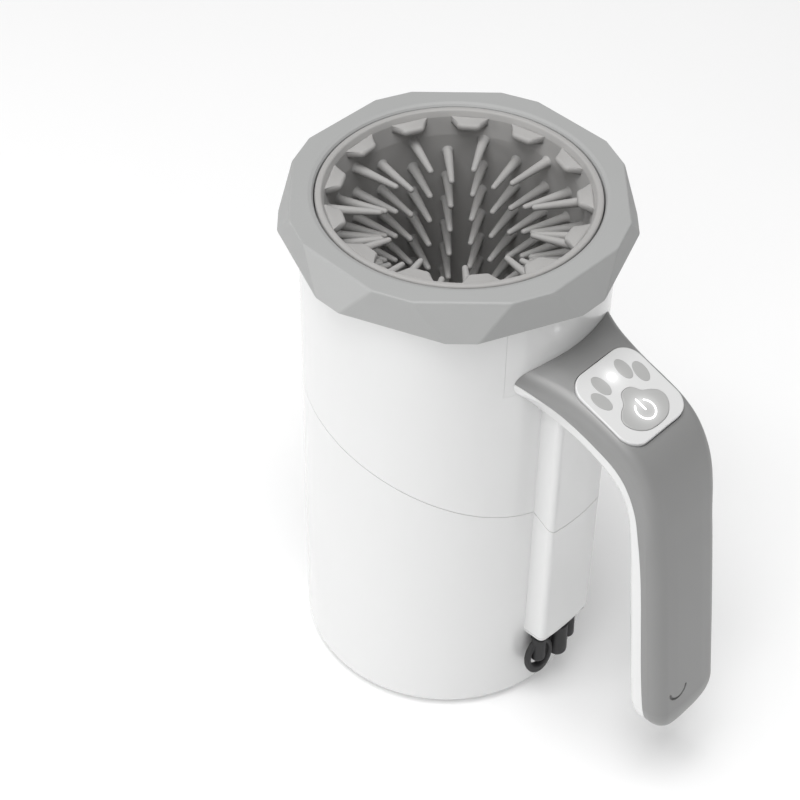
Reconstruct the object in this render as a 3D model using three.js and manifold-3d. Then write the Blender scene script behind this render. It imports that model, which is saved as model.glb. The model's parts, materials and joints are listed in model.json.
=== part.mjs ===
// Paw washer cup: a lidless cup with a motor-driven soft brush insert, a faceted rim ring
// and a side handle. Millimetres, +Z up, +X towards the handle, origin at the centre of the base.

import * as THREE from "three";
import { mergeVertices } from "three/addons/utils/BufferGeometryUtils.js";
import Module from "manifold-3d";

const wasm = await Module();
wasm.setup();

// Driving dimensions.
const TOTAL_HEIGHT = 205;
const BODY_RADIUS = 53.4;
const SHELL_WALL = 2.4;
const GAP = 0.3;
const BODY_SIDES = 48;
const BEARING_SIDES = 24;
const SEAM_SIDES = 72;
const SMALL_SIDES = 16;
const SCREW_SIDES = 8;

// Body shells.
const SHELL_TOP = 197;
const FOOT_FILLET = 5.8;
const FOOT_OPENING = BODY_RADIUS - 5;
const FLANGE_TOP = 8;
const MOUNT_LOW = 160;
const MOUNT_HIGH = 189;
const MOUNT_HALF_ANGLE = 30.5;
const MOUNT_SCREW_X = 50.7;
const MOUNT_SCREW_HEAD = 1.1;
const MOUNT_SCREW_PLACES = [
  [-9, 164.6],
  [9, 164.6],
];

// Base.
const PAD_RADIUS = 46;
const PAD_TOP = 1.9;
const COVER_LOW = 0.6;
const COVER_HIGH = 5;
const BASE_SCREW_CIRCLE = 42.5;
const BASE_SCREW_ANGLES = [45, 135, 225, 315];
const BASE_POST_RADIUS = 4;
const BASE_POST_LOW = COVER_HIGH + GAP;
const BASE_POST_HIGH = 18;
const POST_WEB = 2.4;

// Screws.
const SCREW_HOLE = 1.6;
const SCREW_SHANK = 1.2;
const SCREW_HEAD = 2.4;

// Rim ring: a top polygon and a larger, half-a-step-turned lower polygon joined by flat facets.
const RIM_BOTTOM = 191.5;
const RIM_TOP_RADIUS = 57.8;
const RIM_LOW_RADIUS = 60.5;
const RIM_TOP_HALF_ANGLE = 15.9;
const RIM_LOW_HALF_ANGLE = 4.8;
const RIM_TURN = -1.65;
const RIM_GROOVE_TOP = 198.6;
const RIM_OPENING = 48.3;
const RIM_SIDES = 8;
const GROOVE_INNER = 50.6;

// Brush insert.
const LIP_RADIUS = 47.7;
const LINER_OUTER = 45.3;
const LINER_INNER = 43.4;
const BASKET_OUTER = 47.2;
const BASKET_FLOOR = 54;
const BASKET_FLOOR_THICKNESS = 3;
const LINER_BOTTOM = 57.3;
const LINER_FLOOR_OPENING = 24;
const LIP_BOTTOM = 202.3;
const LIP_TOP = TOTAL_HEIGHT - 0.4;
const DRAIN_COUNT = 6;
const DRAIN_CIRCLE = 15;
const DRAIN_RADIUS = 3;
const PIN_SIDES = 3;
const PIN_COLUMNS = 22;
const PIN_ROWS = 12;
const PIN_ROW_STEP = 10.8;
const PIN_FIRST_HEIGHT = 194;
const PIN_STAGGER = 5.4;
const PIN_TIP_RADIUS = 25.2;
const PIN_ROOT_THICKNESS = 1.75;
const PIN_TIP_THICKNESS = 1.0;
const PIN_COLUMN_TURN = 153.4;
const TAB_COUNT = 13;
const TAB_TURN = 127.5;
const TAB_ROOT_HALF_WIDTH = 7.2;
const TAB_TIP_HALF_WIDTH = 3.4;
const TAB_TIP_RADIUS = 39;
const TAB_TOP = TOTAL_HEIGHT - 1.6;
const TAB_THICKNESS = 2;

// Tank and drive.
const TANK_INNER = 48.2;
const TANK_OUTER = 50.2;
const TANK_TOP = 191;
const TANK_FLOOR = 42;
const TANK_FLOOR_THICKNESS = 2.5;
const TANK_BOSS_RADIUS = 3.2;
const PLATE_BOTTOM = 29;
const PLATE_TOP = 31.5;
const GEAR_BOTTOM = 33;
const GEAR_TOP = 37;
const GEAR_TEETH = 48;
const PINION_TEETH = 12;
const GEAR_MODULE = 0.8;
const TOOTH_ROOT_SHARE = 0.26;
const TOOTH_TIP_SHARE = 0.1;
const GEAR_PITCH_RADIUS = (GEAR_TEETH * GEAR_MODULE) / 2;
const PINION_PITCH_RADIUS = (PINION_TEETH * GEAR_MODULE) / 2;
const MOTOR_X = -(GEAR_PITCH_RADIUS + PINION_PITCH_RADIUS);
const MOTOR_RADIUS = 12;
const MOTOR_LENGTH = 21;
const SPINDLE_RADIUS = 2.5;
const DOG_RADIUS = 7;
const DOG_TOP = 51;
const SOCKET_RADIUS = 10.5;
const DOG_BOTTOM = 46.2;
const SPINDLE_HOLE = SPINDLE_RADIUS + 0.1;
const SPINDLE_SHOULDER = 3.4;
const SEAL_RADIUS = 6;
const BUSH_RADIUS = 4.6;
const PLATE_RADIUS = 40;
const PLATE_POST_TOP = 36;
const PLATE_POST_RADIUS = 3.6;
const PLATE_SCREW_CIRCLE = 33;
const PLATE_SCREW_ANGLES = [-60, 0, 60];
const MOTOR_SHAFT = 1.2;
const MOTOR_SCREW_Y = 8;

// Parting line between the shells: a wide horizontal cylinder, so the line sweeps down towards the handle.
const SEAM_RADIUS = 205;
const SEAM_X = -53;
const SEAM_Z = -76.8;

// Side channel under the handle.
const CHANNEL_FRONT = 61;
const CHANNEL_CROWN = 0.8;
const CHANNEL_HALF_WIDTH = 13.6;
const CHANNEL_CORNER = 4;
const CHANNEL_WALL = 1.8;
const CHANNEL_BOTTOM = 34.5;
const CHANNEL_TOP = 149;

// Charging jack and its rubber cover under the channel's end.
const JACK_X = 56;
const JACK_Y = -3;
const JACK_HOLE = 2.6;
const JACK_BORE = 2;
const JACK_LOW = CHANNEL_BOTTOM + SHELL_WALL + GAP;
const ANCHOR_Y = 10.8;
const STUD_RADIUS = 1.3;
const STRAP_BACK = 53.9;
const STRAP_FRONT = 59;
const STRAP_THICKNESS = 2.4;
const STRAP_END_Y = -12.6;
const PLUG_RADIUS = 1.4;
const KNOBS = [
  [57, -11, 2.9, 21.8],
  [57.6, -0.3, 3.7, 17.4],
  [57, 6, 2.6, 21],
];
const LOOP_Y = -10.3;
const LOOP_Z = 23.4;
const LOOP_HALF_WIDTH = 6;
const LOOP_HALF_HEIGHT = 9.4;
const LOOP_HOLE_HALF_WIDTH = 4.1;
const LOOP_HOLE_HALF_HEIGHT = 6.2;
const LOOP_HOLE_OFFSET = 0.9;
const LOOP_BACK = 55.4;
const LOOP_THICKNESS = 3;
const LOOP_TURN = -11;

// Handle stations: [outer x, outer z, inner x, inner z, half width at the outer face, half width
// at the inner face, depth of the outer cover].
const HANDLE_STATIONS = [
  [46, 173.3, 46, 149.5, 25.9, 13.6, 7.2],
  [54, 170.7, 54, 150.2, 22.4, 15, 8.2],
  [62, 168.1, 61.5, 149.9, 19.9, 16, 9.6],
  [70, 165.4, 69.5, 148.3, 18.6, 16.5, 10.4],
  [78, 162.6, 77, 145.6, 18.2, 16.8, 10.6],
  [86, 159.4, 83.6, 142, 18, 16.8, 10.8],
  [93, 155, 88, 138, 17.6, 16.7, 11.4],
  [98.4, 148.9, 91, 132.5, 17.2, 16.6, 12],
  [102.2, 141.3, 92.9, 125.5, 16.9, 16.5, 12],
  [104.8, 131.8, 93.9, 118, 16.7, 16.5, 11.2],
  [106.8, 120, 94.8, 109.8, 16.5, 16.5, 9.4],
  [109.2, 105, 96, 98, 16.5, 16.5, 8.5],
  [113.7, 72, 99.6, 66, 16.5, 16.5, 8.9],
  [117.1, 46, 102.4, 44.6, 16.4, 16.4, 8.3],
  [117.9, 39.8, 103.6, 39.4, 15.6, 15.6, 7.6],
  [117.2, 35.2, 105.8, 35.2, 13.4, 13.4, 6.3],
  [115.2, 32.2, 109.4, 32.6, 9.6, 9.6, 3],
];
const HANDLE_CORNER = 5.5;
const HANDLE_INNER_CORNER = 3;
const HANDLE_WALL = 2.2;
const SLAB_HALF_WIDTH = 40;
const SLAB_MARGIN = 3;

// Panel on top of the handle.
const PANEL_X = 76.6;
const PANEL_Z = 163.1;
const PANEL_SLOPE = 19.3;
const PANEL_WIDTH = 30.3;
const PANEL_LENGTH = 30.9;
const PANEL_CORNER = 7.3;
const PANEL_THICKNESS = 2;
const PANEL_PROUD = 0.3;
const BUTTON_TRAVEL = 0.8;
const BUTTON_PROUD = 0.3;
const STEM_RADIUS = 1.6;
const SWITCH_TOP = -5.2;
const SWITCH_WIDTH = 6;
const BOARD_TOP = -9;
const BOARD_THICKNESS = 1.2;
const LEDGE_LOW = -4.4;
const LEDGE_LENGTH = 3;
const LEDGE_WIDTH = 5;
const TOE_LENGTH = 8.1;
const TOE_WIDTH = 4.9;
const TOE_DEPTH = 0.6;
const TOE_SEGMENTS = 8;
const PAD_SEGMENTS = 28;
const TOES = [
  [-4, -10.1, 12],
  [-8.2, -5.7, 5],
  [-8.2, 5.7, -5],
  [-4, 10.1, -12],
];
const LENS_X = -8.5;
const LENS_RADIUS = 1.6;
const SYMBOL_X = 6.9;
const SYMBOL_RADIUS = 3.6;
const SYMBOL_STROKE = 0.9;
const SYMBOL_DEPTH = 0.5;
const SYMBOL_GAP_ANGLE = 38;
const SYMBOL_SEGMENTS = 12;

// Inside the grip.
const GRIP_LEAN = 7.5;
const GRIP_BOSS_RADIUS = 3.4;
const GRIP_SEAT_RADIUS = 4.2;
const GRIP_SEAT_LENGTH = 8;
const MOUNT_BOSS_RADIUS = 3.2;
const CELL_THICKNESS = 7;
const CELL_WIDTH = 24;
const CELL_LENGTH = 44;
const CELL_CENTRE = [104, 0, 84];
const HANDLE_SCREWS = [
  [100.4, 54],
  [93.9, 112],
];
const SMILE_RADIUS = 4.2;
const SMILE_STROKE = 0.8;
const SMILE_HALF_ANGLE = 62;
const SMILE_DEPTH = 0.7;
const SMILE_CENTRE = [116.4, -6.6, 50.6];

// Wiring.
const HARNESS_RADIUS = 1.5;
const HARNESS_ROUTE = [
  [64, 2, 154.8],
  [58, 2, 154.2],
  [55.4, 2, 147],
  [54.6, 3, 110],
  [54.4, 4, 60],
  [53.8, 7, 50],
  [52, 8.4, 42],
  [48, 8, 37.8],
  [45, 6, 34.6],
];
const MOTOR_LEAD_ROUTE = [
  [43, -6, 15],
  [36, -8, 8.5],
  [10, -10, 6.5],
  [-12, -7, 6.4],
  [-20, -4, 6.5],
];

const rad = THREE.MathUtils.degToRad;
const object = new THREE.Group();

// A closed geometry as a manifold-3d solid with its faces pointing out.
function solid(geometry, matrix) {
  const bare = new THREE.BufferGeometry();
  bare.setAttribute("position", geometry.getAttribute("position").clone());
  bare.setIndex(geometry.getIndex());
  if (matrix) bare.applyMatrix4(matrix);
  const merged = mergeVertices(bare, 1e-4);
  const made = new wasm.Manifold(
    new wasm.Mesh({
      numProp: 3,
      vertProperties: new Float32Array(merged.getAttribute("position").array),
      triVerts: new Uint32Array(merged.getIndex().array),
    }),
  );
  if (made.volume() > 0) return made;
  const flipped = new Uint32Array(merged.getIndex().array);
  for (let i = 0; i < flipped.length; i += 3) {
    [flipped[i + 1], flipped[i + 2]] = [flipped[i + 2], flipped[i + 1]];
  }
  return new wasm.Manifold(
    new wasm.Mesh({
      numProp: 3,
      vertProperties: new Float32Array(merged.getAttribute("position").array),
      triVerts: flipped,
    }),
  );
}

// Adds a solid to the object as a named mesh.
function addNode(name, made, material, parent = object) {
  const { vertProperties, triVerts } = made.getMesh();
  const geometry = new THREE.BufferGeometry();
  geometry.setAttribute("position", new THREE.BufferAttribute(new Float32Array(vertProperties), 3));
  geometry.setIndex(new THREE.BufferAttribute(new Uint32Array(triVerts), 1));
  geometry.computeVertexNormals();
  const mesh = new THREE.Mesh(geometry, material);
  mesh.name = name;
  parent.add(mesh);
  return mesh;
}

const place = (x, y, z) => new THREE.Matrix4().makeTranslation(x, y, z);
const turnZ = (degrees) => new THREE.Matrix4().makeRotationZ(rad(degrees));

// Upright cylinder or cone between two heights.
function cylinder(radius, low, high, x = 0, y = 0, sides = SMALL_SIDES, topRadius = radius) {
  const geometry = new THREE.CylinderGeometry(topRadius, radius, high - low, sides);
  const matrix = place(x, y, (low + high) / 2).multiply(new THREE.Matrix4().makeRotationX(Math.PI / 2));
  return solid(geometry, matrix);
}

// Upright tube between two heights.
function tube(outer, inner, low, high, x = 0, y = 0, sides = SMALL_SIDES) {
  return cylinder(outer, low, high, x, y, sides).subtract(cylinder(inner, low - 1, high + 1, x, y, sides));
}

// Round bar along X at a height, on the middle plane unless y is given.
function alongX(radius, low, high, z, y = 0) {
  const matrix = place((low + high) / 2, y, z).multiply(new THREE.Matrix4().makeRotationZ(Math.PI / 2));
  return solid(new THREE.CylinderGeometry(radius, radius, high - low, SCREW_SIDES), matrix);
}

// Solid of revolution about Z from a closed [radius, height] profile.
function revolve(profile, sides = BODY_SIDES) {
  const points = profile.map(([radius, height]) => new THREE.Vector2(radius, height));
  const closed = points.concat(points[0].x > 0 ? [points[0].clone()] : []);
  const geometry = new THREE.LatheGeometry(closed, sides);
  return solid(geometry, new THREE.Matrix4().makeRotationX(Math.PI / 2));
}

// Box from its two corners.
function box(low, high) {
  const size = high.map((value, i) => value - low[i]);
  const middle = high.map((value, i) => (value + low[i]) / 2);
  return solid(new THREE.BoxGeometry(...size), place(...middle));
}

// Shape pushed up along Z between two heights.
function prism(shape, low, high, curveSegments = 6) {
  const settings = { depth: high - low, bevelEnabled: false, curveSegments };
  const geometry = new THREE.ExtrudeGeometry(shape, settings);
  return solid(geometry, place(0, 0, low));
}

// Tube of round section along a list of points.
function roundTube(points, radius, steps, sides = SCREW_SIDES) {
  const section = new THREE.Shape();
  section.absarc(0, 0, radius, 0, 2 * Math.PI, false);
  const corners = points.map((point) => new THREE.Vector3(...point));
  const path = new THREE.CatmullRomCurve3(corners, false, "centripetal");
  const settings = { steps, bevelEnabled: false, extrudePath: path, curveSegments: sides / 2 };
  return solid(new THREE.ExtrudeGeometry(section, settings));
}

const join = (solids) => solids.reduce((sum, next) => sum.add(next));
const turned = (made, degrees) => made.transform(turnZ(degrees).elements);

// Screws and their holes. The head and the shank are given by their two ends.
function uprightScrew(head, shank, x, y = 0) {
  const shaft = cylinder(SCREW_SHANK, ...shank, x, y, SCREW_SIDES);
  return cylinder(SCREW_HEAD, ...head, x, y, SCREW_SIDES).add(shaft);
}

function screwAlongX(head, shank, z, y = 0) {
  return alongX(SCREW_HEAD, ...head, z, y).add(alongX(SCREW_SHANK, ...shank, z, y));
}

const screwHole = (low, high, x, y = 0) => cylinder(SCREW_HOLE, low, high, x, y, SCREW_SIDES);

// Skin over a row of closed outlines with the same number of points, with flat ends.
function loft(outlines) {
  const count = outlines[0].length;
  const positions = outlines.flat(2);
  const index = [];
  for (let row = 0; row + 1 < outlines.length; row += 1) {
    for (let i = 0; i < count; i += 1) {
      const a = row * count + i;
      const b = row * count + ((i + 1) % count);
      index.push(a, b, b + count, a, b + count, a + count);
    }
  }
  const last = (outlines.length - 1) * count;
  for (let i = 1; i + 1 < count; i += 1) {
    index.push(0, i + 1, i);
    index.push(last, last + i, last + i + 1);
  }
  const geometry = new THREE.BufferGeometry();
  geometry.setAttribute("position", new THREE.Float32BufferAttribute(positions, 3));
  geometry.setIndex(index);
  return solid(geometry);
}

function material(color, roughness, metalness = 0) {
  return new THREE.MeshStandardMaterial({ color, roughness, metalness });
}

const WHITE_PLASTIC = () => material(0xf2f2f2, 0.3);
const GREY_PLASTIC = () => material(0x9a9a9a, 0.4);
const RIM_PLASTIC = () => material(0xa8a8a6, 0.55);
const GREY_SILICONE = () => material(0xb2b0ad, 0.7);
const BLACK_RUBBER = () => material(0x2a2a2a, 0.7);
const STEEL = () => material(0xb8babd, 0.3, 1);
const BRASS = () => material(0xc9a353, 0.35, 1);
const GREEN_BOARD = () => material(0x1f5a3a, 0.6);
const BLACK_PLASTIC = () => material(0x222326, 0.5);
const CLEAR_PLASTIC = () => material(0xe8ebee, 0.3);
const BLUE_WRAP = () => material(0x2c5fa8, 0.4);

// Solid whose upper face is the parting surface between the shells.
function belowSeam(offset) {
  const radius = SEAM_RADIUS + offset;
  const wide = 4 * BODY_RADIUS;
  return solid(new THREE.CylinderGeometry(radius, radius, wide, SEAM_SIDES), place(SEAM_X, 0, SEAM_Z));
}

// Sector of an upright ring, centred on +X.
function sector(outer, inner, low, high, halfAngle, segments = 12) {
  const shape = new THREE.Shape();
  shape.absarc(0, 0, outer, -rad(halfAngle), rad(halfAngle), false);
  shape.absarc(0, 0, inner, rad(halfAngle), -rad(halfAngle), true);
  return prism(shape, low, high, segments);
}

// Side channel: a shallow box standing out of the body, with rounded upright corners.
function channelBlock(inset, low, high) {
  const half = CHANNEL_HALF_WIDTH - inset;
  const corner = CHANNEL_CORNER - inset / 2;
  const edge = CHANNEL_FRONT - CHANNEL_CROWN - inset;
  const back = BODY_RADIUS - 6;
  const shape = new THREE.Shape();
  shape.moveTo(back, -half);
  shape.lineTo(edge - corner, -half);
  shape.quadraticCurveTo(edge, -half, edge, -half + corner);
  shape.quadraticCurveTo(edge + 2 * CHANNEL_CROWN, 0, edge, half - corner);
  shape.quadraticCurveTo(edge, half, edge - corner, half);
  shape.lineTo(back, half);
  shape.closePath();
  return prism(shape, low, high, 4);
}

// Both shells before they are parted: a straight cup with a rounded foot, open at both ends.
function bodyShell() {
  const arc = [0, 22.5, 45, 67.5, 90].map((angle) => [
    BODY_RADIUS - FOOT_FILLET + FOOT_FILLET * Math.sin(rad(angle)),
    FOOT_FILLET - FOOT_FILLET * Math.cos(rad(angle)),
  ]);
  const inner = BODY_RADIUS - SHELL_WALL;
  const outside = revolve([[0, 0], ...arc, [BODY_RADIUS, SHELL_TOP], [0, SHELL_TOP]]);
  const hollow = cylinder(inner, FLANGE_TOP, SHELL_TOP + 1, 0, 0, BODY_SIDES);
  const foot = cylinder(FOOT_OPENING, -1, FLANGE_TOP + 1, 0, 0, BODY_SIDES);
  const channel = channelBlock(0, CHANNEL_BOTTOM, CHANNEL_TOP);
  const channelHollow = channelBlock(CHANNEL_WALL, CHANNEL_BOTTOM + SHELL_WALL, CHANNEL_TOP + 1);
  return outside.add(channel).subtract(hollow).subtract(foot).subtract(channelHollow);
}

// Posts inside the foot that take the base screws.
function basePost(angle) {
  const post = cylinder(BASE_POST_RADIUS, BASE_POST_LOW, BASE_POST_HIGH, BASE_SCREW_CIRCLE, 0, SCREW_SIDES);
  const half = POST_WEB / 2;
  const web = box([BASE_SCREW_CIRCLE, -half, BASE_POST_LOW], [BODY_RADIUS - 1, half, BASE_POST_HIGH]);
  const pilot = screwHole(0, BASE_POST_HIGH - 1, BASE_SCREW_CIRCLE);
  return turned(post.add(web).subtract(pilot), angle);
}

function buildShells() {
  const whole = bodyShell();
  const inside = BODY_RADIUS - SHELL_WALL;
  const window = sector(BODY_RADIUS + 1, inside - 1, MOUNT_LOW, MOUNT_HIGH, MOUNT_HALF_ANGLE);
  const floor = [CHANNEL_BOTTOM - 1, CHANNEL_BOTTOM + SHELL_WALL + 1];
  const jackHole = cylinder(JACK_HOLE, ...floor, JACK_X, JACK_Y);
  const anchorHole = cylinder(STUD_RADIUS + GAP, ...floor, JACK_X, ANCHOR_Y, SCREW_SIDES);
  const upper = whole.subtract(belowSeam(GAP / 2)).subtract(window);
  const posts = join(BASE_SCREW_ANGLES.map(basePost));
  const lower = whole.intersect(belowSeam(-GAP / 2)).add(posts).subtract(jackHole).subtract(anchorHole);
  addNode("upper_shell", upper, WHITE_PLASTIC());
  addNode("lower_shell", lower, WHITE_PLASTIC());
  const plate = sector(BODY_RADIUS, inside, MOUNT_LOW + GAP, MOUNT_HIGH - GAP, MOUNT_HALF_ANGLE - GAP);
  const headEnd = MOUNT_SCREW_X + MOUNT_SCREW_HEAD;
  const screwHoles = MOUNT_SCREW_PLACES.map(([y, z]) => {
    const seat = alongX(SCREW_HEAD + GAP, inside - 5, headEnd + GAP, z, y);
    return alongX(SCREW_HOLE, inside - 5, BODY_RADIUS + 5, z, y).add(seat);
  });
  addNode("handle_mount_plate", plate.subtract(join(screwHoles)), WHITE_PLASTIC());
  MOUNT_SCREW_PLACES.forEach(([y, z], i) => {
    const screw = screwAlongX([MOUNT_SCREW_X, headEnd], [MOUNT_SCREW_X + 0.5, MOUNT_SCREW_X + 9], z, y);
    addNode("mount_screw_" + (i + 1), screw, STEEL());
  });
}

function buildTank() {
  const floorTop = TANK_FLOOR + TANK_FLOOR_THICKNESS;
  const cup = revolve([
    [0, TANK_FLOOR],
    [TANK_OUTER, TANK_FLOOR],
    [TANK_OUTER, TANK_TOP],
    [TANK_INNER, TANK_TOP],
    [TANK_INNER, floorTop],
    [0, floorTop],
  ]);
  const sealSeat = cylinder(SEAL_RADIUS + GAP, TANK_FLOOR - 1, floorTop + 1, 0, 0, BEARING_SIDES);
  const bosses = PLATE_SCREW_ANGLES.map((angle) => {
    const low = PLATE_POST_TOP + GAP;
    const high = TANK_FLOOR + 0.5;
    const boss = cylinder(TANK_BOSS_RADIUS, low, high, PLATE_SCREW_CIRCLE, 0, SCREW_SIDES);
    return turned(boss.subtract(screwHole(low - 1, high - 0.5, PLATE_SCREW_CIRCLE)), angle);
  });
  addNode("inner_tank", join([cup.subtract(sealSeat), ...bosses]), WHITE_PLASTIC());
  const seal = tube(SEAL_RADIUS, SPINDLE_HOLE, TANK_FLOOR, floorTop + 1, 0, 0, BEARING_SIDES);
  const flange = tube(SEAL_RADIUS + 2, SPINDLE_HOLE, floorTop + GAP, floorTop + 1, 0, 0, BEARING_SIDES);
  addNode("shaft_seal", seal.add(flange), BLACK_RUBBER());
}

function buildBase() {
  const cover = cylinder(FOOT_OPENING - GAP, COVER_LOW, COVER_HIGH, 0, 0, BODY_SIDES);
  const padSeat = cylinder(PAD_RADIUS + GAP, -1, PAD_TOP + GAP, 0, 0, BODY_SIDES);
  const holes = BASE_SCREW_ANGLES.map((angle) => {
    const head = cylinder(SCREW_HEAD + GAP, 0, PAD_TOP + 2, BASE_SCREW_CIRCLE, 0, SCREW_SIDES);
    return turned(screwHole(0, COVER_HIGH + 1, BASE_SCREW_CIRCLE).add(head), angle);
  });
  addNode("base_cover", cover.subtract(padSeat).subtract(join(holes)), WHITE_PLASTIC());
  addNode("base_pad", cylinder(PAD_RADIUS, 0, PAD_TOP, 0, 0, BODY_SIDES), BLACK_RUBBER());
  BASE_SCREW_ANGLES.forEach((angle, i) => {
    const head = [PAD_TOP + GAP, PAD_TOP + 1.7];
    const screw = uprightScrew(head, [PAD_TOP + 1, BASE_POST_HIGH - 3], BASE_SCREW_CIRCLE);
    addNode("base_screw_" + (i + 1), turned(screw, angle), STEEL());
  });
}

// Spur gear with straight-sided teeth; the first tooth points along +X. A tooth's flanks lie at
// shares of the tooth step on each side of its middle, wide at the root and narrow at the tip.
function gear(teeth, low, high, bore) {
  const pitch = (teeth * GEAR_MODULE) / 2;
  const points = [];
  for (let tooth = 0; tooth < teeth; tooth += 1) {
    const middle = (tooth * 360) / teeth;
    const flank = [
      [pitch - 1.25 * GEAR_MODULE, -TOOTH_ROOT_SHARE],
      [pitch + GEAR_MODULE, -TOOTH_TIP_SHARE],
      [pitch + GEAR_MODULE, TOOTH_TIP_SHARE],
      [pitch - 1.25 * GEAR_MODULE, TOOTH_ROOT_SHARE],
    ];
    flank.forEach(([radius, share]) => {
      const angle = rad(middle + (share * 360) / teeth);
      points.push(new THREE.Vector2(radius * Math.cos(angle), radius * Math.sin(angle)));
    });
  }
  return prism(new THREE.Shape(points), low, high).subtract(cylinder(bore, low - 1, high + 1));
}

function buildDrive() {
  const plateDisc = cylinder(PLATE_RADIUS, PLATE_BOTTOM, PLATE_TOP, 0, 0, BEARING_SIDES);
  const posts = PLATE_SCREW_ANGLES.map((angle) => {
    const ends = [PLATE_TOP - 1, PLATE_POST_TOP];
    return turned(cylinder(PLATE_POST_RADIUS, ...ends, PLATE_SCREW_CIRCLE, 0, SCREW_SIDES), angle);
  });
  const screwHoles = PLATE_SCREW_ANGLES.map((angle) =>
    turned(screwHole(PLATE_BOTTOM - 1, PLATE_POST_TOP + 1, PLATE_SCREW_CIRCLE), angle),
  );
  const bushSeat = cylinder(BUSH_RADIUS + GAP, PLATE_BOTTOM - 1, PLATE_TOP + 1, 0, 0, BEARING_SIDES);
  const shaftWindow = cylinder(MOTOR_SHAFT + 2, PLATE_BOTTOM - 1, PLATE_TOP + 1, MOTOR_X, 0);
  const motorHoles = [-1, 1].map((side) =>
    screwHole(PLATE_BOTTOM - 1, PLATE_TOP + 1, MOTOR_X, side * MOTOR_SCREW_Y),
  );
  const holes = join([bushSeat, shaftWindow, ...screwHoles, ...motorHoles]);
  addNode("gearbox_plate", join([plateDisc, ...posts]).subtract(holes), BLACK_PLASTIC());
  PLATE_SCREW_ANGLES.forEach((angle, i) => {
    const head = [PLATE_BOTTOM - 1.7, PLATE_BOTTOM - GAP];
    const screw = uprightScrew(head, [PLATE_BOTTOM - 1, TANK_FLOOR - 1.5], PLATE_SCREW_CIRCLE);
    addNode("plate_screw_" + (i + 1), turned(screw, angle), STEEL());
  });
  const bush = tube(BUSH_RADIUS, SPINDLE_HOLE, PLATE_BOTTOM - 1, PLATE_TOP + 0.4, 0, 0, BEARING_SIDES);
  addNode("spindle_bush", bush, BRASS());

  const motorTop = PLATE_BOTTOM - GAP;
  const can = cylinder(MOTOR_RADIUS, motorTop - MOTOR_LENGTH, motorTop, MOTOR_X, 0, 24);
  const shaftBore = cylinder(MOTOR_SHAFT + 0.12, motorTop - 8, motorTop + 1, MOTOR_X, 0, 24);
  const taps = [-1, 1].map((side) =>
    screwHole(motorTop - 4.5, motorTop + 1, MOTOR_X, side * MOTOR_SCREW_Y),
  );
  addNode("motor_can", can.subtract(join([shaftBore, ...taps])), STEEL());
  [-1, 1].forEach((side, i) => {
    const head = [PLATE_TOP + GAP, PLATE_TOP + 1.6];
    const screw = uprightScrew(head, [motorTop - 4, PLATE_TOP + 1], MOTOR_X, side * MOTOR_SCREW_Y);
    addNode("motor_screw_" + (i + 1), screw, STEEL());
  });
  addNode("motor_shaft", cylinder(MOTOR_SHAFT, motorTop - 7, GEAR_TOP + 0.5, MOTOR_X, 0, 24), STEEL());
  const pinion = gear(PINION_TEETH, GEAR_BOTTOM, GEAR_TOP, MOTOR_SHAFT + GAP);
  addNode("motor_pinion", pinion.transform(place(MOTOR_X, 0, 0).elements), BRASS());

  const spindle = revolve(
    [
      [0, PLATE_BOTTOM - 2],
      [SPINDLE_RADIUS, PLATE_BOTTOM - 2],
      [SPINDLE_RADIUS, PLATE_TOP + 0.7],
      [SPINDLE_SHOULDER, PLATE_TOP + 0.7],
      [SPINDLE_SHOULDER, TANK_FLOOR - 0.5],
      [SPINDLE_RADIUS, TANK_FLOOR - 0.5],
      [SPINDLE_RADIUS, DOG_TOP - 1.5],
      [0, DOG_TOP - 1.5],
    ],
    BEARING_SIDES,
  );
  addNode("drive_spindle", spindle, STEEL());
  const driven = gear(GEAR_TEETH, GEAR_BOTTOM, GEAR_TOP, SPINDLE_SHOULDER + GAP);
  addNode("drive_gear", turned(driven, 180 / GEAR_TEETH), BLACK_PLASTIC());
  const dog = cylinder(DOG_RADIUS, DOG_BOTTOM, DOG_TOP, 0, 0, 6);
  const dogBore = cylinder(SPINDLE_RADIUS + GAP, DOG_BOTTOM - 1, DOG_TOP - 1.2, 0, 0, BEARING_SIDES);
  addNode("drive_dog", dog.subtract(dogBore), GREY_PLASTIC());
}

// One soft tab: a flat wedge-ended tongue from the lip towards the middle.
function brushTab(angle) {
  const root = LINER_INNER + 0.8;
  const shape = new THREE.Shape([
    new THREE.Vector2(root, -TAB_ROOT_HALF_WIDTH),
    new THREE.Vector2(TAB_TIP_RADIUS, -TAB_TIP_HALF_WIDTH),
    new THREE.Vector2(TAB_TIP_RADIUS, TAB_TIP_HALF_WIDTH),
    new THREE.Vector2(root, TAB_ROOT_HALF_WIDTH),
  ]);
  return turned(prism(shape, TAB_TOP - TAB_THICKNESS, TAB_TOP), angle);
}

// One bristle: a tapered pin pointing at the cup's axis.
function brushPin(angle, height) {
  const root = LINER_INNER + 0.6;
  const length = root - PIN_TIP_RADIUS;
  const pin = new THREE.CylinderGeometry(PIN_TIP_THICKNESS, PIN_ROOT_THICKNESS, length, PIN_SIDES);
  const matrix = turnZ(angle)
    .multiply(place(root - length / 2, 0, height))
    .multiply(new THREE.Matrix4().makeRotationZ(Math.PI / 2));
  return solid(pin, matrix);
}

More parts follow.
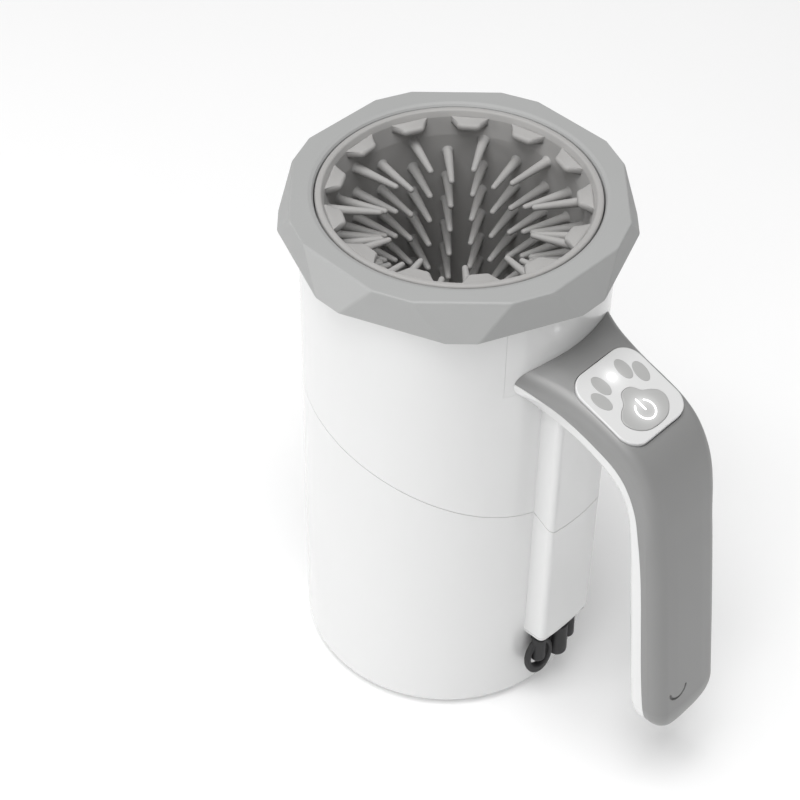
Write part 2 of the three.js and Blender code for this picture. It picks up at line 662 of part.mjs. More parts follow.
function buildBrush() {
  const wallSides = 2 * PIN_COLUMNS;
  const facetTurn = turnZ(PIN_COLUMN_TURN + 180 / wallSides).elements;
  const cup = revolve(
    [
      [LINER_FLOOR_OPENING, LINER_BOTTOM],
      [LINER_OUTER, LINER_BOTTOM],
      [LINER_OUTER, LIP_BOTTOM],
      [LIP_RADIUS, LIP_BOTTOM],
      [LIP_RADIUS, LIP_TOP],
      [LINER_INNER + 1.6, LIP_TOP],
      [LINER_INNER, TAB_TOP - 0.6],
      [LINER_INNER, LINER_BOTTOM + 2],
      [LINER_FLOOR_OPENING, LINER_BOTTOM + 2],
    ],
    wallSides,
  ).transform(facetTurn);
  const pieces = [cup];
  for (let tab = 0; tab < TAB_COUNT; tab += 1) {
    pieces.push(brushTab(TAB_TURN - (tab * 360) / TAB_COUNT));
  }
  for (let column = 0; column < PIN_COLUMNS; column += 1) {
    const angle = PIN_COLUMN_TURN - (column * 360) / PIN_COLUMNS;
    const first = PIN_FIRST_HEIGHT - (column % 2) * PIN_STAGGER;
    for (let row = 0; row < PIN_ROWS; row += 1) {
      pieces.push(brushPin(angle, first - row * PIN_ROW_STEP));
    }
  }
  addNode("brush_liner", wasm.Manifold.union(pieces), GREY_SILICONE());

  const basket = revolve([
    [0, BASKET_FLOOR],
    [BASKET_OUTER, BASKET_FLOOR],
    [BASKET_OUTER, LIP_BOTTOM - GAP],
    [LINER_OUTER + GAP, LIP_BOTTOM - GAP],
    [LINER_OUTER + GAP, BASKET_FLOOR + BASKET_FLOOR_THICKNESS],
    [0, BASKET_FLOOR + BASKET_FLOOR_THICKNESS],
  ]);
  const drains = [];
  const floor = [BASKET_FLOOR - 1, BASKET_FLOOR + BASKET_FLOOR_THICKNESS + 1];
  for (let i = 0; i < DRAIN_COUNT; i += 1) {
    const drain = cylinder(DRAIN_RADIUS, ...floor, DRAIN_CIRCLE, 0, SCREW_SIDES);
    drains.push(turned(drain, (i * 360) / DRAIN_COUNT));
  }
  addNode("brush_basket", basket.subtract(join(drains)), GREY_PLASTIC());

  const socket = cylinder(SOCKET_RADIUS, DOG_BOTTOM + 0.2, BASKET_FLOOR - GAP, 0, 0, BEARING_SIDES);
  const socketBore = cylinder(DOG_RADIUS + 0.4, DOG_BOTTOM - 1, DOG_TOP + 2 * GAP, 0, 0, 6);
  addNode("drive_socket", socket.subtract(socketBore), WHITE_PLASTIC());
}

// Corners of a rim polygon: long and short edges by turns.
function rimOutline(radius, halfAngle, height) {
  const corners = [];
  for (let side = 0; side < RIM_SIDES; side += 1) {
    [-halfAngle, halfAngle].forEach((offset) => {
      const angle = rad(RIM_TURN + (side * 360) / RIM_SIDES + offset);
      corners.push([radius * Math.cos(angle), radius * Math.sin(angle), height]);
    });
  }
  return corners;
}

function buildRim() {
  const block = loft([
    rimOutline(RIM_LOW_RADIUS, RIM_LOW_HALF_ANGLE, RIM_BOTTOM),
    rimOutline(RIM_TOP_RADIUS, RIM_TOP_HALF_ANGLE, TOTAL_HEIGHT),
  ]);
  const opening = cylinder(RIM_OPENING, RIM_BOTTOM - 1, TOTAL_HEIGHT + 1, 0, 0, BODY_SIDES);
  const groove = tube(BODY_RADIUS + GAP, GROOVE_INNER, RIM_BOTTOM - 1, RIM_GROOVE_TOP, 0, 0, BODY_SIDES);
  addNode("faceted_rim", block.subtract(opening).subtract(groove), RIM_PLASTIC());
  const gasketEnds = [SHELL_TOP + GAP, RIM_GROOVE_TOP - GAP];
  const gasket = tube(BODY_RADIUS, GROOVE_INNER + GAP, ...gasketEnds, 0, 0, BODY_SIDES);
  addNode("rim_gasket", gasket, BLACK_RUBBER());
}

// Outline of a handle section, in the plane through its outer and its inner line.
function handleOutline([outerX, outerZ, innerX, innerZ, outerHalf, innerHalf], inset) {
  const outer = new THREE.Vector2(outerX, outerZ);
  const inner = new THREE.Vector2(innerX, innerZ);
  const depth = outer.distanceTo(inner);
  const along = outer.clone().sub(inner).normalize();
  const wide = outerHalf - inset;
  const narrow = innerHalf - inset;
  const low = inset;
  const high = depth - inset;
  const corner = Math.min(HANDLE_CORNER - inset / 2, 0.45 * (high - low), 0.9 * narrow);
  const small = Math.min(HANDLE_INNER_CORNER - inset / 2, 0.45 * (high - low), 0.9 * narrow);
  const shape = new THREE.Path();
  shape.moveTo(0, high);
  shape.lineTo(wide - corner, high);
  shape.quadraticCurveTo(wide, high, wide, high - corner);
  shape.lineTo(narrow, low + small);
  shape.quadraticCurveTo(narrow, low, narrow - small, low);
  shape.lineTo(0, low);
  const right = shape.getPoints(2);
  const left = right.slice(1, -1).reverse().map((point) => new THREE.Vector2(-point.x, point.y));
  return right.concat(left).map((point) => [
    inner.x + along.x * point.y,
    point.x,
    inner.y + along.y * point.y,
  ]);
}

// Broad slab that covers the outer side of the handle, down to the parting line.
function outerSlab(offset) {
  const outline = HANDLE_STATIONS.map(([outerX, outerZ, innerX, innerZ, , , coverDepth]) => {
    const outer = new THREE.Vector2(outerX, outerZ);
    const inner = new THREE.Vector2(innerX, innerZ);
    const depth = coverDepth + offset;
    const along = outer.clone().sub(inner).normalize();
    const low = inner.clone().addScaledVector(along, depth);
    return { low, high: outer.clone().addScaledVector(along, SLAB_MARGIN) };
  });
  const section = ({ low, high }) => [
    [low.x, -SLAB_HALF_WIDTH, low.y],
    [low.x, SLAB_HALF_WIDTH, low.y],
    [high.x, SLAB_HALF_WIDTH, high.y],
    [high.x, -SLAB_HALF_WIDTH, high.y],
  ];
  const end = outline[outline.length - 1];
  const lowered = (point) => point.clone().setY(point.y - SLAB_MARGIN);
  const below = { low: lowered(end.low), high: lowered(end.high) };
  return loft([...outline, below].map(section));
}

// Matrix from the panel's own frame (x down the slope, y across, z out of the surface) to the part's frame.
function panelMatrix() {
  return place(PANEL_X, 0, PANEL_Z).multiply(new THREE.Matrix4().makeRotationY(rad(PANEL_SLOPE)));
}

// Rounded rectangle centred on the origin.
function roundedRectangle(length, width, corner) {
  const x = length / 2;
  const y = width / 2;
  const shape = new THREE.Shape();
  shape.moveTo(-x + corner, -y);
  shape.lineTo(x - corner, -y);
  shape.absarc(x - corner, -y + corner, corner, -Math.PI / 2, 0, false);
  shape.absarc(x - corner, y - corner, corner, 0, Math.PI / 2, false);
  shape.absarc(-x + corner, y - corner, corner, Math.PI / 2, Math.PI, false);
  shape.absarc(-x + corner, -y + corner, corner, Math.PI, 1.5 * Math.PI, false);
  return shape;
}

// Paw pad outline: a rounded triangle with a small lobe at the top, grown outwards by a margin.
function padShape(margin) {
  const half = [
    [-2.6 - margin, 0],
    [-1.8 - margin, 2.6 + margin / 2],
    [1.1 - margin / 2, 4.7 + margin],
    [2.8 - margin, 7.6 + margin / 2],
    [4.8 - margin / 2, 9.7 + margin],
    [7.4, 10.1 + margin],
    [10.4 + margin / 2, 8.4 + margin],
    [12.8 + margin, 4.8 + margin / 2],
    [13.4 + margin, 0],
  ];
  const other = half.slice(1, -1).reverse().map(([x, y]) => [x, -y]);
  const points = half.concat(other).map(([x, y]) => new THREE.Vector3(x, y, 0));
  const curve = new THREE.CatmullRomCurve3(points, true, "centripetal");
  const outline = curve.getPoints(PAD_SEGMENTS).slice(0, -1);
  return new THREE.Shape(outline.map((point) => new THREE.Vector2(point.x, point.y)));
}

// Toe outline: an ellipse along the slope, grown by a margin.
function toeShape([x, y, turn], margin) {
  const radii = [TOE_LENGTH / 2 + margin, TOE_WIDTH / 2 + margin];
  return new THREE.Shape().absellipse(x, y, ...radii, 0, 2 * Math.PI, false, rad(turn));
}

// Arc of constant width about a point on the x axis.
function arcStroke(x, radius, half, start, end) {
  const shape = new THREE.Shape();
  shape.absarc(x, 0, radius + half, start, end, false);
  shape.absarc(x, 0, radius - half, end, start, true);
  return shape;
}

// Arc of the power symbol, open towards the body.
function symbolArc(margin) {
  const gap = rad(SYMBOL_GAP_ANGLE) - margin / SYMBOL_RADIUS;
  const half = SYMBOL_STROKE / 2 + margin;
  return arcStroke(SYMBOL_X, SYMBOL_RADIUS, half, Math.PI + gap, 3 * Math.PI - gap);
}

function symbolBar(margin) {
  const half = SYMBOL_STROKE / 2 + margin;
  const start = SYMBOL_X - SYMBOL_RADIUS - SYMBOL_STROKE - margin;
  const end = SYMBOL_X + margin;
  return new THREE.Shape([
    new THREE.Vector2(start, -half),
    new THREE.Vector2(end, -half),
    new THREE.Vector2(end, half),
    new THREE.Vector2(start, half),
  ]);
}

// Solid in the panel's own frame, moved to its place on the handle.
const onPanel = (made) => made.transform(panelMatrix().elements);

// Handle before it is parted: a hollow arch with its end faces fitted to the body and the channel.
function handleParts() {
  const skin = (inset, stations) => loft(stations.map((station) => handleOutline(station, inset)));
  const outside = skin(0, HANDLE_STATIONS);
  const hollow = skin(HANDLE_WALL, HANDLE_STATIONS.slice(0, -3));
  const bodyCut = cylinder(BODY_RADIUS + GAP, MOUNT_LOW - 60, MOUNT_HIGH + 11, 0, 0, BODY_SIDES);
  const channelCut = channelBlock(-GAP, CHANNEL_BOTTOM, CHANNEL_TOP + GAP);
  return { outside, bodyCut, shell: outside.subtract(hollow).subtract(bodyCut).subtract(channelCut) };
}

// Grey outer cover with the panel's recess, a ledge under it, screw bosses and the pressed smile.
function handleCover({ outside, bodyCut, shell }) {
  const recess = prism(
    roundedRectangle(PANEL_LENGTH + 2 * GAP, PANEL_WIDTH + 2 * GAP, PANEL_CORNER + GAP),
    PANEL_PROUD - PANEL_THICKNESS - GAP,
    6,
  );
  const ledge = prism(roundedRectangle(PANEL_LENGTH, PANEL_WIDTH, PANEL_CORNER), LEDGE_LOW, -1);
  const ledgeHole = prism(
    roundedRectangle(PANEL_LENGTH - LEDGE_LENGTH, PANEL_WIDTH - LEDGE_WIDTH, PANEL_CORNER - LEDGE_WIDTH / 2),
    BOARD_TOP,
    3,
  );
  const slab = outerSlab(GAP / 2);
  const gripBosses = HANDLE_SCREWS.map(([x, z]) => alongX(GRIP_BOSS_RADIUS, x + 5.4, x + 14.5, z));
  const gripPilots = HANDLE_SCREWS.map(([x, z]) => alongX(SCREW_HOLE, x - 5, x + 11.6, z));
  const mountBosses = MOUNT_SCREW_PLACES.map(([y, z]) =>
    alongX(MOUNT_BOSS_RADIUS, BODY_RADIUS - 3, BODY_RADIUS + 9, z, y),
  );
  const mountPilots = MOUNT_SCREW_PLACES.map(([y, z]) =>
    alongX(SCREW_HOLE, BODY_RADIUS - 6, BODY_RADIUS + 7.5, z, y),
  );
  return shell
    .intersect(slab)
    .add(onPanel(ledge).intersect(outside).subtract(bodyCut))
    .add(join([...gripBosses, ...mountBosses]).intersect(outside).intersect(slab).subtract(bodyCut))
    .subtract(onPanel(recess))
    .subtract(onPanel(ledgeHole))
    .subtract(join([...gripPilots, ...mountPilots]))
    .subtract(smileGroove());
}

// White inner shell with seats for the grip's screws and an opening for the wires.
function handleInnerShell({ outside, shell }) {
  const slab = outerSlab(-GAP / 2);
  const seats = HANDLE_SCREWS.map(([x, z]) => {
    return alongX(GRIP_SEAT_RADIUS, x, x + GRIP_SEAT_LENGTH, z).intersect(outside);
  });
  const heads = HANDLE_SCREWS.map(([x, z]) => alongX(SCREW_HEAD + GAP, x - 5, x + 2.4, z));
  const holes = HANDLE_SCREWS.map(([x, z]) => alongX(SCREW_HOLE, x - 5, x + 11.6, z));
  const wireHole = box([50, -4, 140], [59.5, 4, 153]);
  return shell.subtract(slab).add(join(seats).subtract(slab)).subtract(join([...heads, ...holes, wireHole]));
}

function buildHandle() {
  const parts = handleParts();
  addNode("handle_cover", handleCover(parts), GREY_PLASTIC());
  addNode("handle_inner_shell", handleInnerShell(parts), WHITE_PLASTIC());
  HANDLE_SCREWS.forEach(([x, z], i) => {
    const screw = screwAlongX([x + 0.6, x + 2.1], [x + 1.5, x + 10.6], z);
    addNode("handle_screw_" + (i + 1), screw, STEEL());
  });
  const cell = prism(roundedRectangle(CELL_THICKNESS, CELL_WIDTH, 2), -CELL_LENGTH / 2, CELL_LENGTH / 2, 3);
  const lean = place(...CELL_CENTRE).multiply(new THREE.Matrix4().makeRotationY(-rad(GRIP_LEAN)));
  addNode("battery_cell", cell.transform(lean.elements), BLUE_WRAP());
}

// Everything on the panel's plane: the panel, its toes, light and button, and the board beneath.
function buildPanel() {
  const fixtures = new THREE.Group();
  fixtures.applyMatrix4(panelMatrix());
  object.add(fixtures);
  const low = PANEL_PROUD - PANEL_THICKNESS;
  const plate = prism(roundedRectangle(PANEL_LENGTH, PANEL_WIDTH, PANEL_CORNER), low, PANEL_PROUD);
  const toePockets = TOES.map((toe) =>
    prism(toeShape(toe, GAP), PANEL_PROUD - TOE_DEPTH - GAP, PANEL_PROUD + 1, TOE_SEGMENTS),
  );
  const lensHole = cylinder(LENS_RADIUS + GAP, low - 1, 2, LENS_X, 0, BEARING_SIDES);
  const padHole = prism(padShape(GAP), low - 1, 2);
  const panel = plate.subtract(join([...toePockets, lensHole, padHole]));
  addNode("button_panel", panel, WHITE_PLASTIC(), fixtures);
  TOES.forEach((toe, i) => {
    const inlay = prism(toeShape(toe, 0), PANEL_PROUD - TOE_DEPTH, PANEL_PROUD + 0.1, TOE_SEGMENTS);
    addNode("toe_inlay_" + (i + 1), inlay, GREY_PLASTIC(), fixtures);
  });
  const lens = cylinder(LENS_RADIUS, low, PANEL_PROUD + 0.1, LENS_X, 0, BEARING_SIDES);
  addNode("status_lens", lens, CLEAR_PLASTIC(), fixtures);
  buildButton(fixtures, low);
  buildControls(fixtures);
}

// Paw-shaped button with a stem down to the switch and the power symbol let into its top.
function buildButton(fixtures, low) {
  const top = PANEL_PROUD + BUTTON_PROUD;
  const stem = cylinder(STEM_RADIUS, SWITCH_TOP + BUTTON_TRAVEL + GAP, top - 1, SYMBOL_X, 0);
  const pockets = [symbolArc(GAP), symbolBar(GAP)].map((shape) =>
    prism(shape, top - SYMBOL_DEPTH - GAP, top + 1, SYMBOL_SEGMENTS),
  );
  const key = prism(padShape(0), low, top).add(stem).subtract(join(pockets));
  addNode("power_button", key, GREY_PLASTIC(), fixtures);
  const arc = prism(symbolArc(0), top - SYMBOL_DEPTH, top + 0.05, SYMBOL_SEGMENTS);
  addNode("symbol_arc_light", arc, CLEAR_PLASTIC(), fixtures);
  const bar = prism(symbolBar(0), top - SYMBOL_DEPTH, top + 0.05);
  addNode("symbol_bar_light", bar, CLEAR_PLASTIC(), fixtures);
}

// Control board under the panel, with a chip, the light's source and the button's switch.
function buildControls(fixtures) {
  const board = box([-11, -10, BOARD_TOP - BOARD_THICKNESS], [13, 10, BOARD_TOP]);
  const chip = box([-9, -8, BOARD_TOP - 0.5], [-4, -3, BOARD_TOP + 1]);
  const led = box([LENS_X - 1, -1, BOARD_TOP - 0.5], [LENS_X + 1, 1, BOARD_TOP + 1.2]);
  addNode("control_board", join([board, chip, led]), GREEN_BOARD(), fixtures);
  const half = SWITCH_WIDTH / 2;
  const body = box([SYMBOL_X - half, -half, BOARD_TOP + GAP], [SYMBOL_X + half, half, SWITCH_TOP - 0.6]);
  const plunger = cylinder(STEM_RADIUS - 0.1, SWITCH_TOP - 1, SWITCH_TOP, SYMBOL_X, 0);
  addNode("tact_switch", body.add(plunger), BLACK_PLASTIC(), fixtures);
}

// Shallow arc pressed into the outer face near the end of the grip.
function smileGroove() {
  const sweep = rad(SMILE_HALF_ANGLE);
  const shape = arcStroke(0, SMILE_RADIUS, SMILE_STROKE / 2, Math.PI - sweep, Math.PI + sweep);
  const cutter = prism(shape, -SMILE_DEPTH, 3, 10);
  const face = new THREE.Matrix4()
    .makeTranslation(...SMILE_CENTRE)
    .multiply(new THREE.Matrix4().makeRotationY(rad(90 - GRIP_LEAN)))
    .multiply(new THREE.Matrix4().makeRotationZ(Math.PI));
  return cutter.transform(face.elements);
}

function buildPort() {
  const jack = box([51.2, JACK_Y - 4, JACK_LOW], [58.1, JACK_Y + 4, JACK_LOW + 11]);
  const jackBore = cylinder(JACK_BORE, JACK_LOW - 1, JACK_LOW + 9, JACK_X, JACK_Y);
  addNode("charging_jack", jack.subtract(jackBore), BLACK_PLASTIC());
  const board = box([44, -9, 12], [45.2, 9, 32]);
  const chip = box([42.5, -3, 18], [44.5, 3, 24]);
  addNode("charging_board", board.add(chip), GREEN_BOARD());

  const strapTop = CHANNEL_BOTTOM - GAP;
  const strapLow = strapTop - STRAP_THICKNESS;
  const anchor = box([STRAP_BACK, ANCHOR_Y - 1.6, strapLow], [STRAP_FRONT, ANCHOR_Y + 1.9, strapTop]);
  const stud = cylinder(STUD_RADIUS, strapTop - 1, strapTop + 3.4, JACK_X, ANCHOR_Y, SCREW_SIDES);
  addNode("port_cover_anchor", anchor.add(stud), BLACK_RUBBER());

  const strap = box([STRAP_BACK, STRAP_END_Y, strapLow], [STRAP_FRONT, ANCHOR_Y - 1.6 - GAP, strapTop]);
  const plug = cylinder(PLUG_RADIUS, strapTop - 1, strapTop + 2.6, JACK_X, JACK_Y);
  const knobs = KNOBS.map(([x, y, radius, low]) => {
    const shaft = cylinder(radius, low + radius, strapTop - 0.5, x, y);
    const end = solid(new THREE.SphereGeometry(radius, 12, 8), place(x, y, low + radius));
    return shaft.add(end);
  });
  const ring = new THREE.Shape();
  ring.absellipse(0, 0, LOOP_HALF_WIDTH, LOOP_HALF_HEIGHT, 0, 2 * Math.PI, false, 0);
  const ringHole = new THREE.Path();
  const radii = [LOOP_HOLE_HALF_WIDTH, LOOP_HOLE_HALF_HEIGHT];
  ringHole.absellipse(0, LOOP_HOLE_OFFSET, ...radii, 0, 2 * Math.PI, true, 0);
  ring.holes.push(ringHole);
  const upright = new THREE.Matrix4().makeBasis(
    new THREE.Vector3(0, 1, 0),
    new THREE.Vector3(0, 0, 1),
    new THREE.Vector3(1, 0, 0),
  );
  const ringPlace = place(LOOP_BACK, LOOP_Y, LOOP_Z).multiply(turnZ(LOOP_TURN)).multiply(upright);
  const loop = prism(ring, 0, LOOP_THICKNESS, 10).transform(ringPlace.elements);
  addNode("port_cover", join([strap, plug, ...knobs, loop]), BLACK_RUBBER());
}

function buildWiring() {
  addNode("wire_harness", roundTube(HARNESS_ROUTE, HARNESS_RADIUS, 28), BLACK_PLASTIC());
  addNode("motor_leads", roundTube(MOTOR_LEAD_ROUTE, 0.9, 14), BLACK_PLASTIC());
}

buildShells();
buildTank();
buildBase();
buildDrive();
buildBrush();
buildRim();
buildHandle();
buildPanel();
buildPort();
buildWiring();

export default object;
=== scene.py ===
import json
import math

import bmesh
import bpy
import numpy as np
from mathutils import Matrix, Vector

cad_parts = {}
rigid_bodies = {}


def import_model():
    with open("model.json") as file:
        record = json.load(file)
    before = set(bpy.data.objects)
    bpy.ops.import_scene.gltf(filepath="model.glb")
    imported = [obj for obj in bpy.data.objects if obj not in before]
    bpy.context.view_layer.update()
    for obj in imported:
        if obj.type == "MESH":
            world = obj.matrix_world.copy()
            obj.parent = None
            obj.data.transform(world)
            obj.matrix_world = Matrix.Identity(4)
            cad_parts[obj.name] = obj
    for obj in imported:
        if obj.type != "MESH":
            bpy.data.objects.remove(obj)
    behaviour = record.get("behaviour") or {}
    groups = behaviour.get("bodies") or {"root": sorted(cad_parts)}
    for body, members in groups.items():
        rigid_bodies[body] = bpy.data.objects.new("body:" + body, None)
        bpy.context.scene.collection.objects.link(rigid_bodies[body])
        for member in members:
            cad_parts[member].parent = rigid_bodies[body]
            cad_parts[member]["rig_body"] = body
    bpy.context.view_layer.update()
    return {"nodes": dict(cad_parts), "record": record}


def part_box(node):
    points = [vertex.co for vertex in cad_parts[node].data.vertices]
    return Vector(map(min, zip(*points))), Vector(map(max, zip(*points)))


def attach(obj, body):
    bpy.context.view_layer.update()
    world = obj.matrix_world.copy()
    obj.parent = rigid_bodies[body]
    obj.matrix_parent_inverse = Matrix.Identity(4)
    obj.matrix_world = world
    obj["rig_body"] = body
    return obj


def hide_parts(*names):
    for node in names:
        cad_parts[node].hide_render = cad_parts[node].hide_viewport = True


# Paw washer cup. Shapes are worked out in millimetres in the part's frame: +Z up, +X towards the handle.
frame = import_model()
record = frame["record"]
slot_of = {row["node"]: row["material_slot"] for row in record["subparts"]}

MM = 0.001
UP = Vector((0, 0, 1))

# Cleaning of the meshes, in metres and square metres.
SAME_POINT = 1e-7
WELD = 2e-6
CRUMB_AREA = 1e-6


def extent(node):
    """Lowest and highest corner of a CAD node in millimetres."""
    low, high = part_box(node)
    return low / MM, high / MM


# Sizes read from the frame.
shell_high = extent("upper_shell")[1]
rim_low, rim_high = extent("faceted_rim")
tank_high = extent("inner_tank")[1]
pad_high = extent("base_pad")[1]
anchor_low, anchor_high = extent("port_cover_anchor")
TOTAL_HEIGHT = rim_high.z
BODY_RADIUS = shell_high.y
SHELL_TOP = shell_high.z
RIM_BOTTOM = rim_low.z
TANK_OUTER = tank_high.y
TANK_TOP = tank_high.z
LIP_RADIUS = extent("brush_liner")[1].y
PAD_RADIUS = pad_high.y
PAD_TOP = pad_high.z
HINGE_Y = anchor_low.y
ANCHOR_END_Y = anchor_high.y
ANCHOR_TOP = anchor_high.z

# Roundness and fineness of the meshes.
ROUND_SIDES = 192
SMALL_SIDES = 48
ARC_STEPS = 6
SEAM_SIDES = 720

# Distance between pieces that are not joined.
GAP = 0.3

# Body.
SHELL_WALL = 2.4
SHELL_TOP_EDGE = 0.5
FOOT_FILLET = 5.8
FOOT_OPENING = BODY_RADIUS - 5
FLANGE_TOP = 8
HAIRLINE = 0.3
PLATE_GAP = 0.06
SEAM_RADIUS = 205
SEAM_X = -53
SEAM_Z = -76.8
PLATE_LOW, PLATE_HIGH = 160, 189
PLATE_HALF_ANGLE = 30.5
CHANNEL_FRONT = 61
CHANNEL_CROWN = 0.8
CHANNEL_HALF_WIDTH = 13.6
CHANNEL_CORNER = 2.5
CHANNEL_WALL = 1.8
CHANNEL_BOTTOM = 34.5
CHANNEL_TOP = 149
CHANNEL_EDGE = 0.2
CHANNEL_LIP = 1.5
CHANNEL_LIP_INSET = 0.2
CHANNEL_LIP_EDGE = 0.9
CHANNEL_GROOVE = 0.4
CHANNEL_ROOT = 6
CHANNEL_CROWN_POINTS = (-6.2, -3.1, 0, 3.1, 6.2)
JACK_HOLE_RADIUS = 2.6
PEG_HOLE_RADIUS = 1.6

# Base, with its four screws in posts, and the water tank. Profile corners are (radius, height, rounding).
BASE_SCREW_ANGLES = (45, 135, 225, 315)
BASE_SCREW_CIRCLE = 42.5
SCREW_HOLE_RADIUS = 1.6
SCREW_HEAD_RADIUS = 2.7
SCREW_HEAD_TOP = 3.9
POST_RADIUS = 4
POST_LOW, POST_TOP = 5.3, 18
POST_EDGE = 0.3
WEB_HALF_THICKNESS = 1.2
COVER_LOW, COVER_RECESS, COVER_TOP = 0.6, 2.2, 5
PAD_GROOVE = [(30, 0, 0.3), (30.6, 0.7, 0.3), (32.4, 0.7, 0.3), (33, 0, 0.3)]
TANK_WALL = 2
TANK_FLOOR_LOW, TANK_FLOOR_TOP = 42, 44.5
TANK_HOLE_RADIUS = 6.3
BOSS_ANGLES = (-60, 0, 60)
BOSS_CIRCLE = 33
BOSS_RADIUS = 3.2
BOSS_LOW = 36.3
SEAL_PROFILE = [
    (2.6, 42, 0.15), (6, 42, 0.3), (6, 44.8, 0), (8, 44.8, 0.2), (8, 45.5, 0.3), (2.6, 45.5, 0.2),
]

# Rim ring.
RIM_TOP_RADIUS = 57.8
RIM_LOW_RADIUS = 60.5
RIM_TOP_HALF_ANGLE = 15.9
RIM_LOW_HALF_ANGLE = 4.8
RIM_TURN = -1.65
RIM_SIDES = 8
RIM_OPENING = 47.98
RIM_GROOVE_TOP = 198.6
GROOVE_INNER = 50.6
RIM_EDGE = 0.65
RIM_EDGE_STEPS = 4
RIM_INNER_EDGE = 1.9

# Brush insert.
LINER_OUTER = 45.3
LINER_INNER = 43.4
LINER_BOTTOM = 57.3
LINER_OPENING = 24
LINER_FLOOR_THICKNESS = 2
# The liner's mouth: how far out from the inner wall, how far down from the lip, and the rounding.
MOUTH_FLARE = [(2.1, 0, 0.9), (1.1, 2.2, 1.5), (0, 9, 6)]
LIP_BOTTOM = 202.3
LIP_TOP = TOTAL_HEIGHT - 0.4
BASKET_OUTER = 47.2
BASKET_FLOOR = 54
BASKET_FLOOR_THICKNESS = 3
DRAIN_COUNT = 6
DRAIN_CIRCLE = 15
DRAIN_RADIUS = 3
SOCKET_SIDES = 96
SOCKET_HEX_RADIUS = 7.4
SOCKET_HEX_TOP = 51.6
DOG_HEX_RADIUS = 7
DOG_CORNER = 0.8
DOG_BORE_RADIUS = 2.8
DOG_ROOF = 1.2
PIN_COLUMNS = 22
PIN_ROWS = 12
PIN_ROW_STEP = 10.8
PIN_FIRST_HEIGHT = 194
PIN_STAGGER = 5.4
PIN_TIP_RADIUS = 25.2
PIN_ROOT_THICKNESS = 1.75
PIN_TIP_THICKNESS = 1.02
PIN_COLUMN_TURN = 153.4
PIN_SIDES = 14
# Foot of a bristle: distance from the wall, and what its radius is there beyond the root thickness.
PIN_FLARE = [(-0.8, 0.9), (0, 0.55), (0.35, 0.2), (0.9, 0)]
TAB_COUNT = 13
TAB_TURN = 127.5
TAB_ROOT_HALF_WIDTH = 6.8
TAB_ROOT_DEPTH = 1.2
TAB_TIP_HALF_WIDTH = 3.5
TAB_TIP_RADIUS = 39
TAB_TOP = TOTAL_HEIGHT - 2.2
TAB_THICKNESS = 2.6
TAB_CORNER = 2.3
TAB_EDGE = 1.1

# Handle stations: outer x and z, inner x and z, half width outside and inside, corner radius, how far the
# outer face droops to its sides, how far the flanks bulge (0 to 1), and the outer cover's depth.
HANDLE_STATIONS = [
    (46, 173.3, 46, 149.5, 25.3, 13.6, 6.4, 4.4, 0.85, 7.2),
    (54, 170.7, 54, 150.2, 22, 15, 6.2, 3.4, 0.8, 8.2),
    (62, 168.1, 61.5, 149.9, 19.8, 16, 5.6, 1.9, 0.7, 9.6),
    (70, 165.4, 69.5, 148.3, 18.4, 16.5, 4.8, 0.8, 0.6, 10.4),
    (78, 162.6, 77, 145.6, 17.9, 16.8, 4.2, 0.3, 0.5, 10.6),
    (86, 159.4, 83.6, 142, 17.7, 16.8, 4, 0.1, 0.3, 10.8),
    (93, 155, 88, 138, 17.4, 16.7, 4.2, 0.1, 0.1, 11.4),
    (98.4, 148.9, 91, 132.5, 17.1, 16.6, 4.8, 0.3, 0, 12),
    (102.2, 141.3, 92.9, 125.5, 16.9, 16.5, 5.2, 0.6, 0, 12),
    (104.8, 131.8, 93.9, 118, 16.7, 16.5, 5.8, 0.8, 0, 11.2),
    (106.8, 120, 94.8, 109.8, 16.5, 16.5, 6, 1, 0, 9.4),
    (109.2, 105, 96, 98, 16.5, 16.5, 6, 1, 0, 8.5),
    (113.7, 72, 99.6, 66, 16.5, 16.5, 6, 1, 0, 8.9),
    (117, 46.5, 102.2, 45.4, 16.5, 16.5, 6, 1, 0, 8.4),
    (117.7, 41.5, 102.9, 41.3, 16.3, 16.3, 6, 1, 0, 8.3),
    (117.7, 38, 103.4, 38, 15.5, 15.5, 5.6, 1, 0, 7.9),
    (117.3, 35, 104.2, 35, 13.8, 13.8, 5, 0.9, 0, 7.2),
    (116.6, 32.8, 105.2, 32.8, 11, 11, 4, 0.7, 0, 6.2),
    (115.6, 31.4, 106.6, 31.4, 7.2, 7.2, 2.8, 0.4, 0, 4.9),
    (114.4, 30.8, 108.2, 30.8, 3.4, 3.4, 1.3, 0.1, 0, 3.3),
]
HANDLE_ROWS_PER_STATION = 7
CROWN_POWER = 2.6
FLANK_SHARE = 0.36
FLANK_SWELL = 0.2
FLANK_CORNER = 6
HANDLE_INNER_CORNER = 3
HANDLE_WALL = 2.2
SLAB_HALF_WIDTH = 40
SLAB_PROUD = 3
HANDLE_HOLLOW_END = -5
HANDLE_SEAM = 0.06
HANDLE_BODY_GAP = 0.12
HANDLE_CHANNEL_GAP = 0.1
HANDLE_SCREWS = [(100.4, 54), (93.9, 112)]
RECESS_DEPTH = 3.6
RECESS_TOP = 0.15
RECESS_FLARE = 0.35

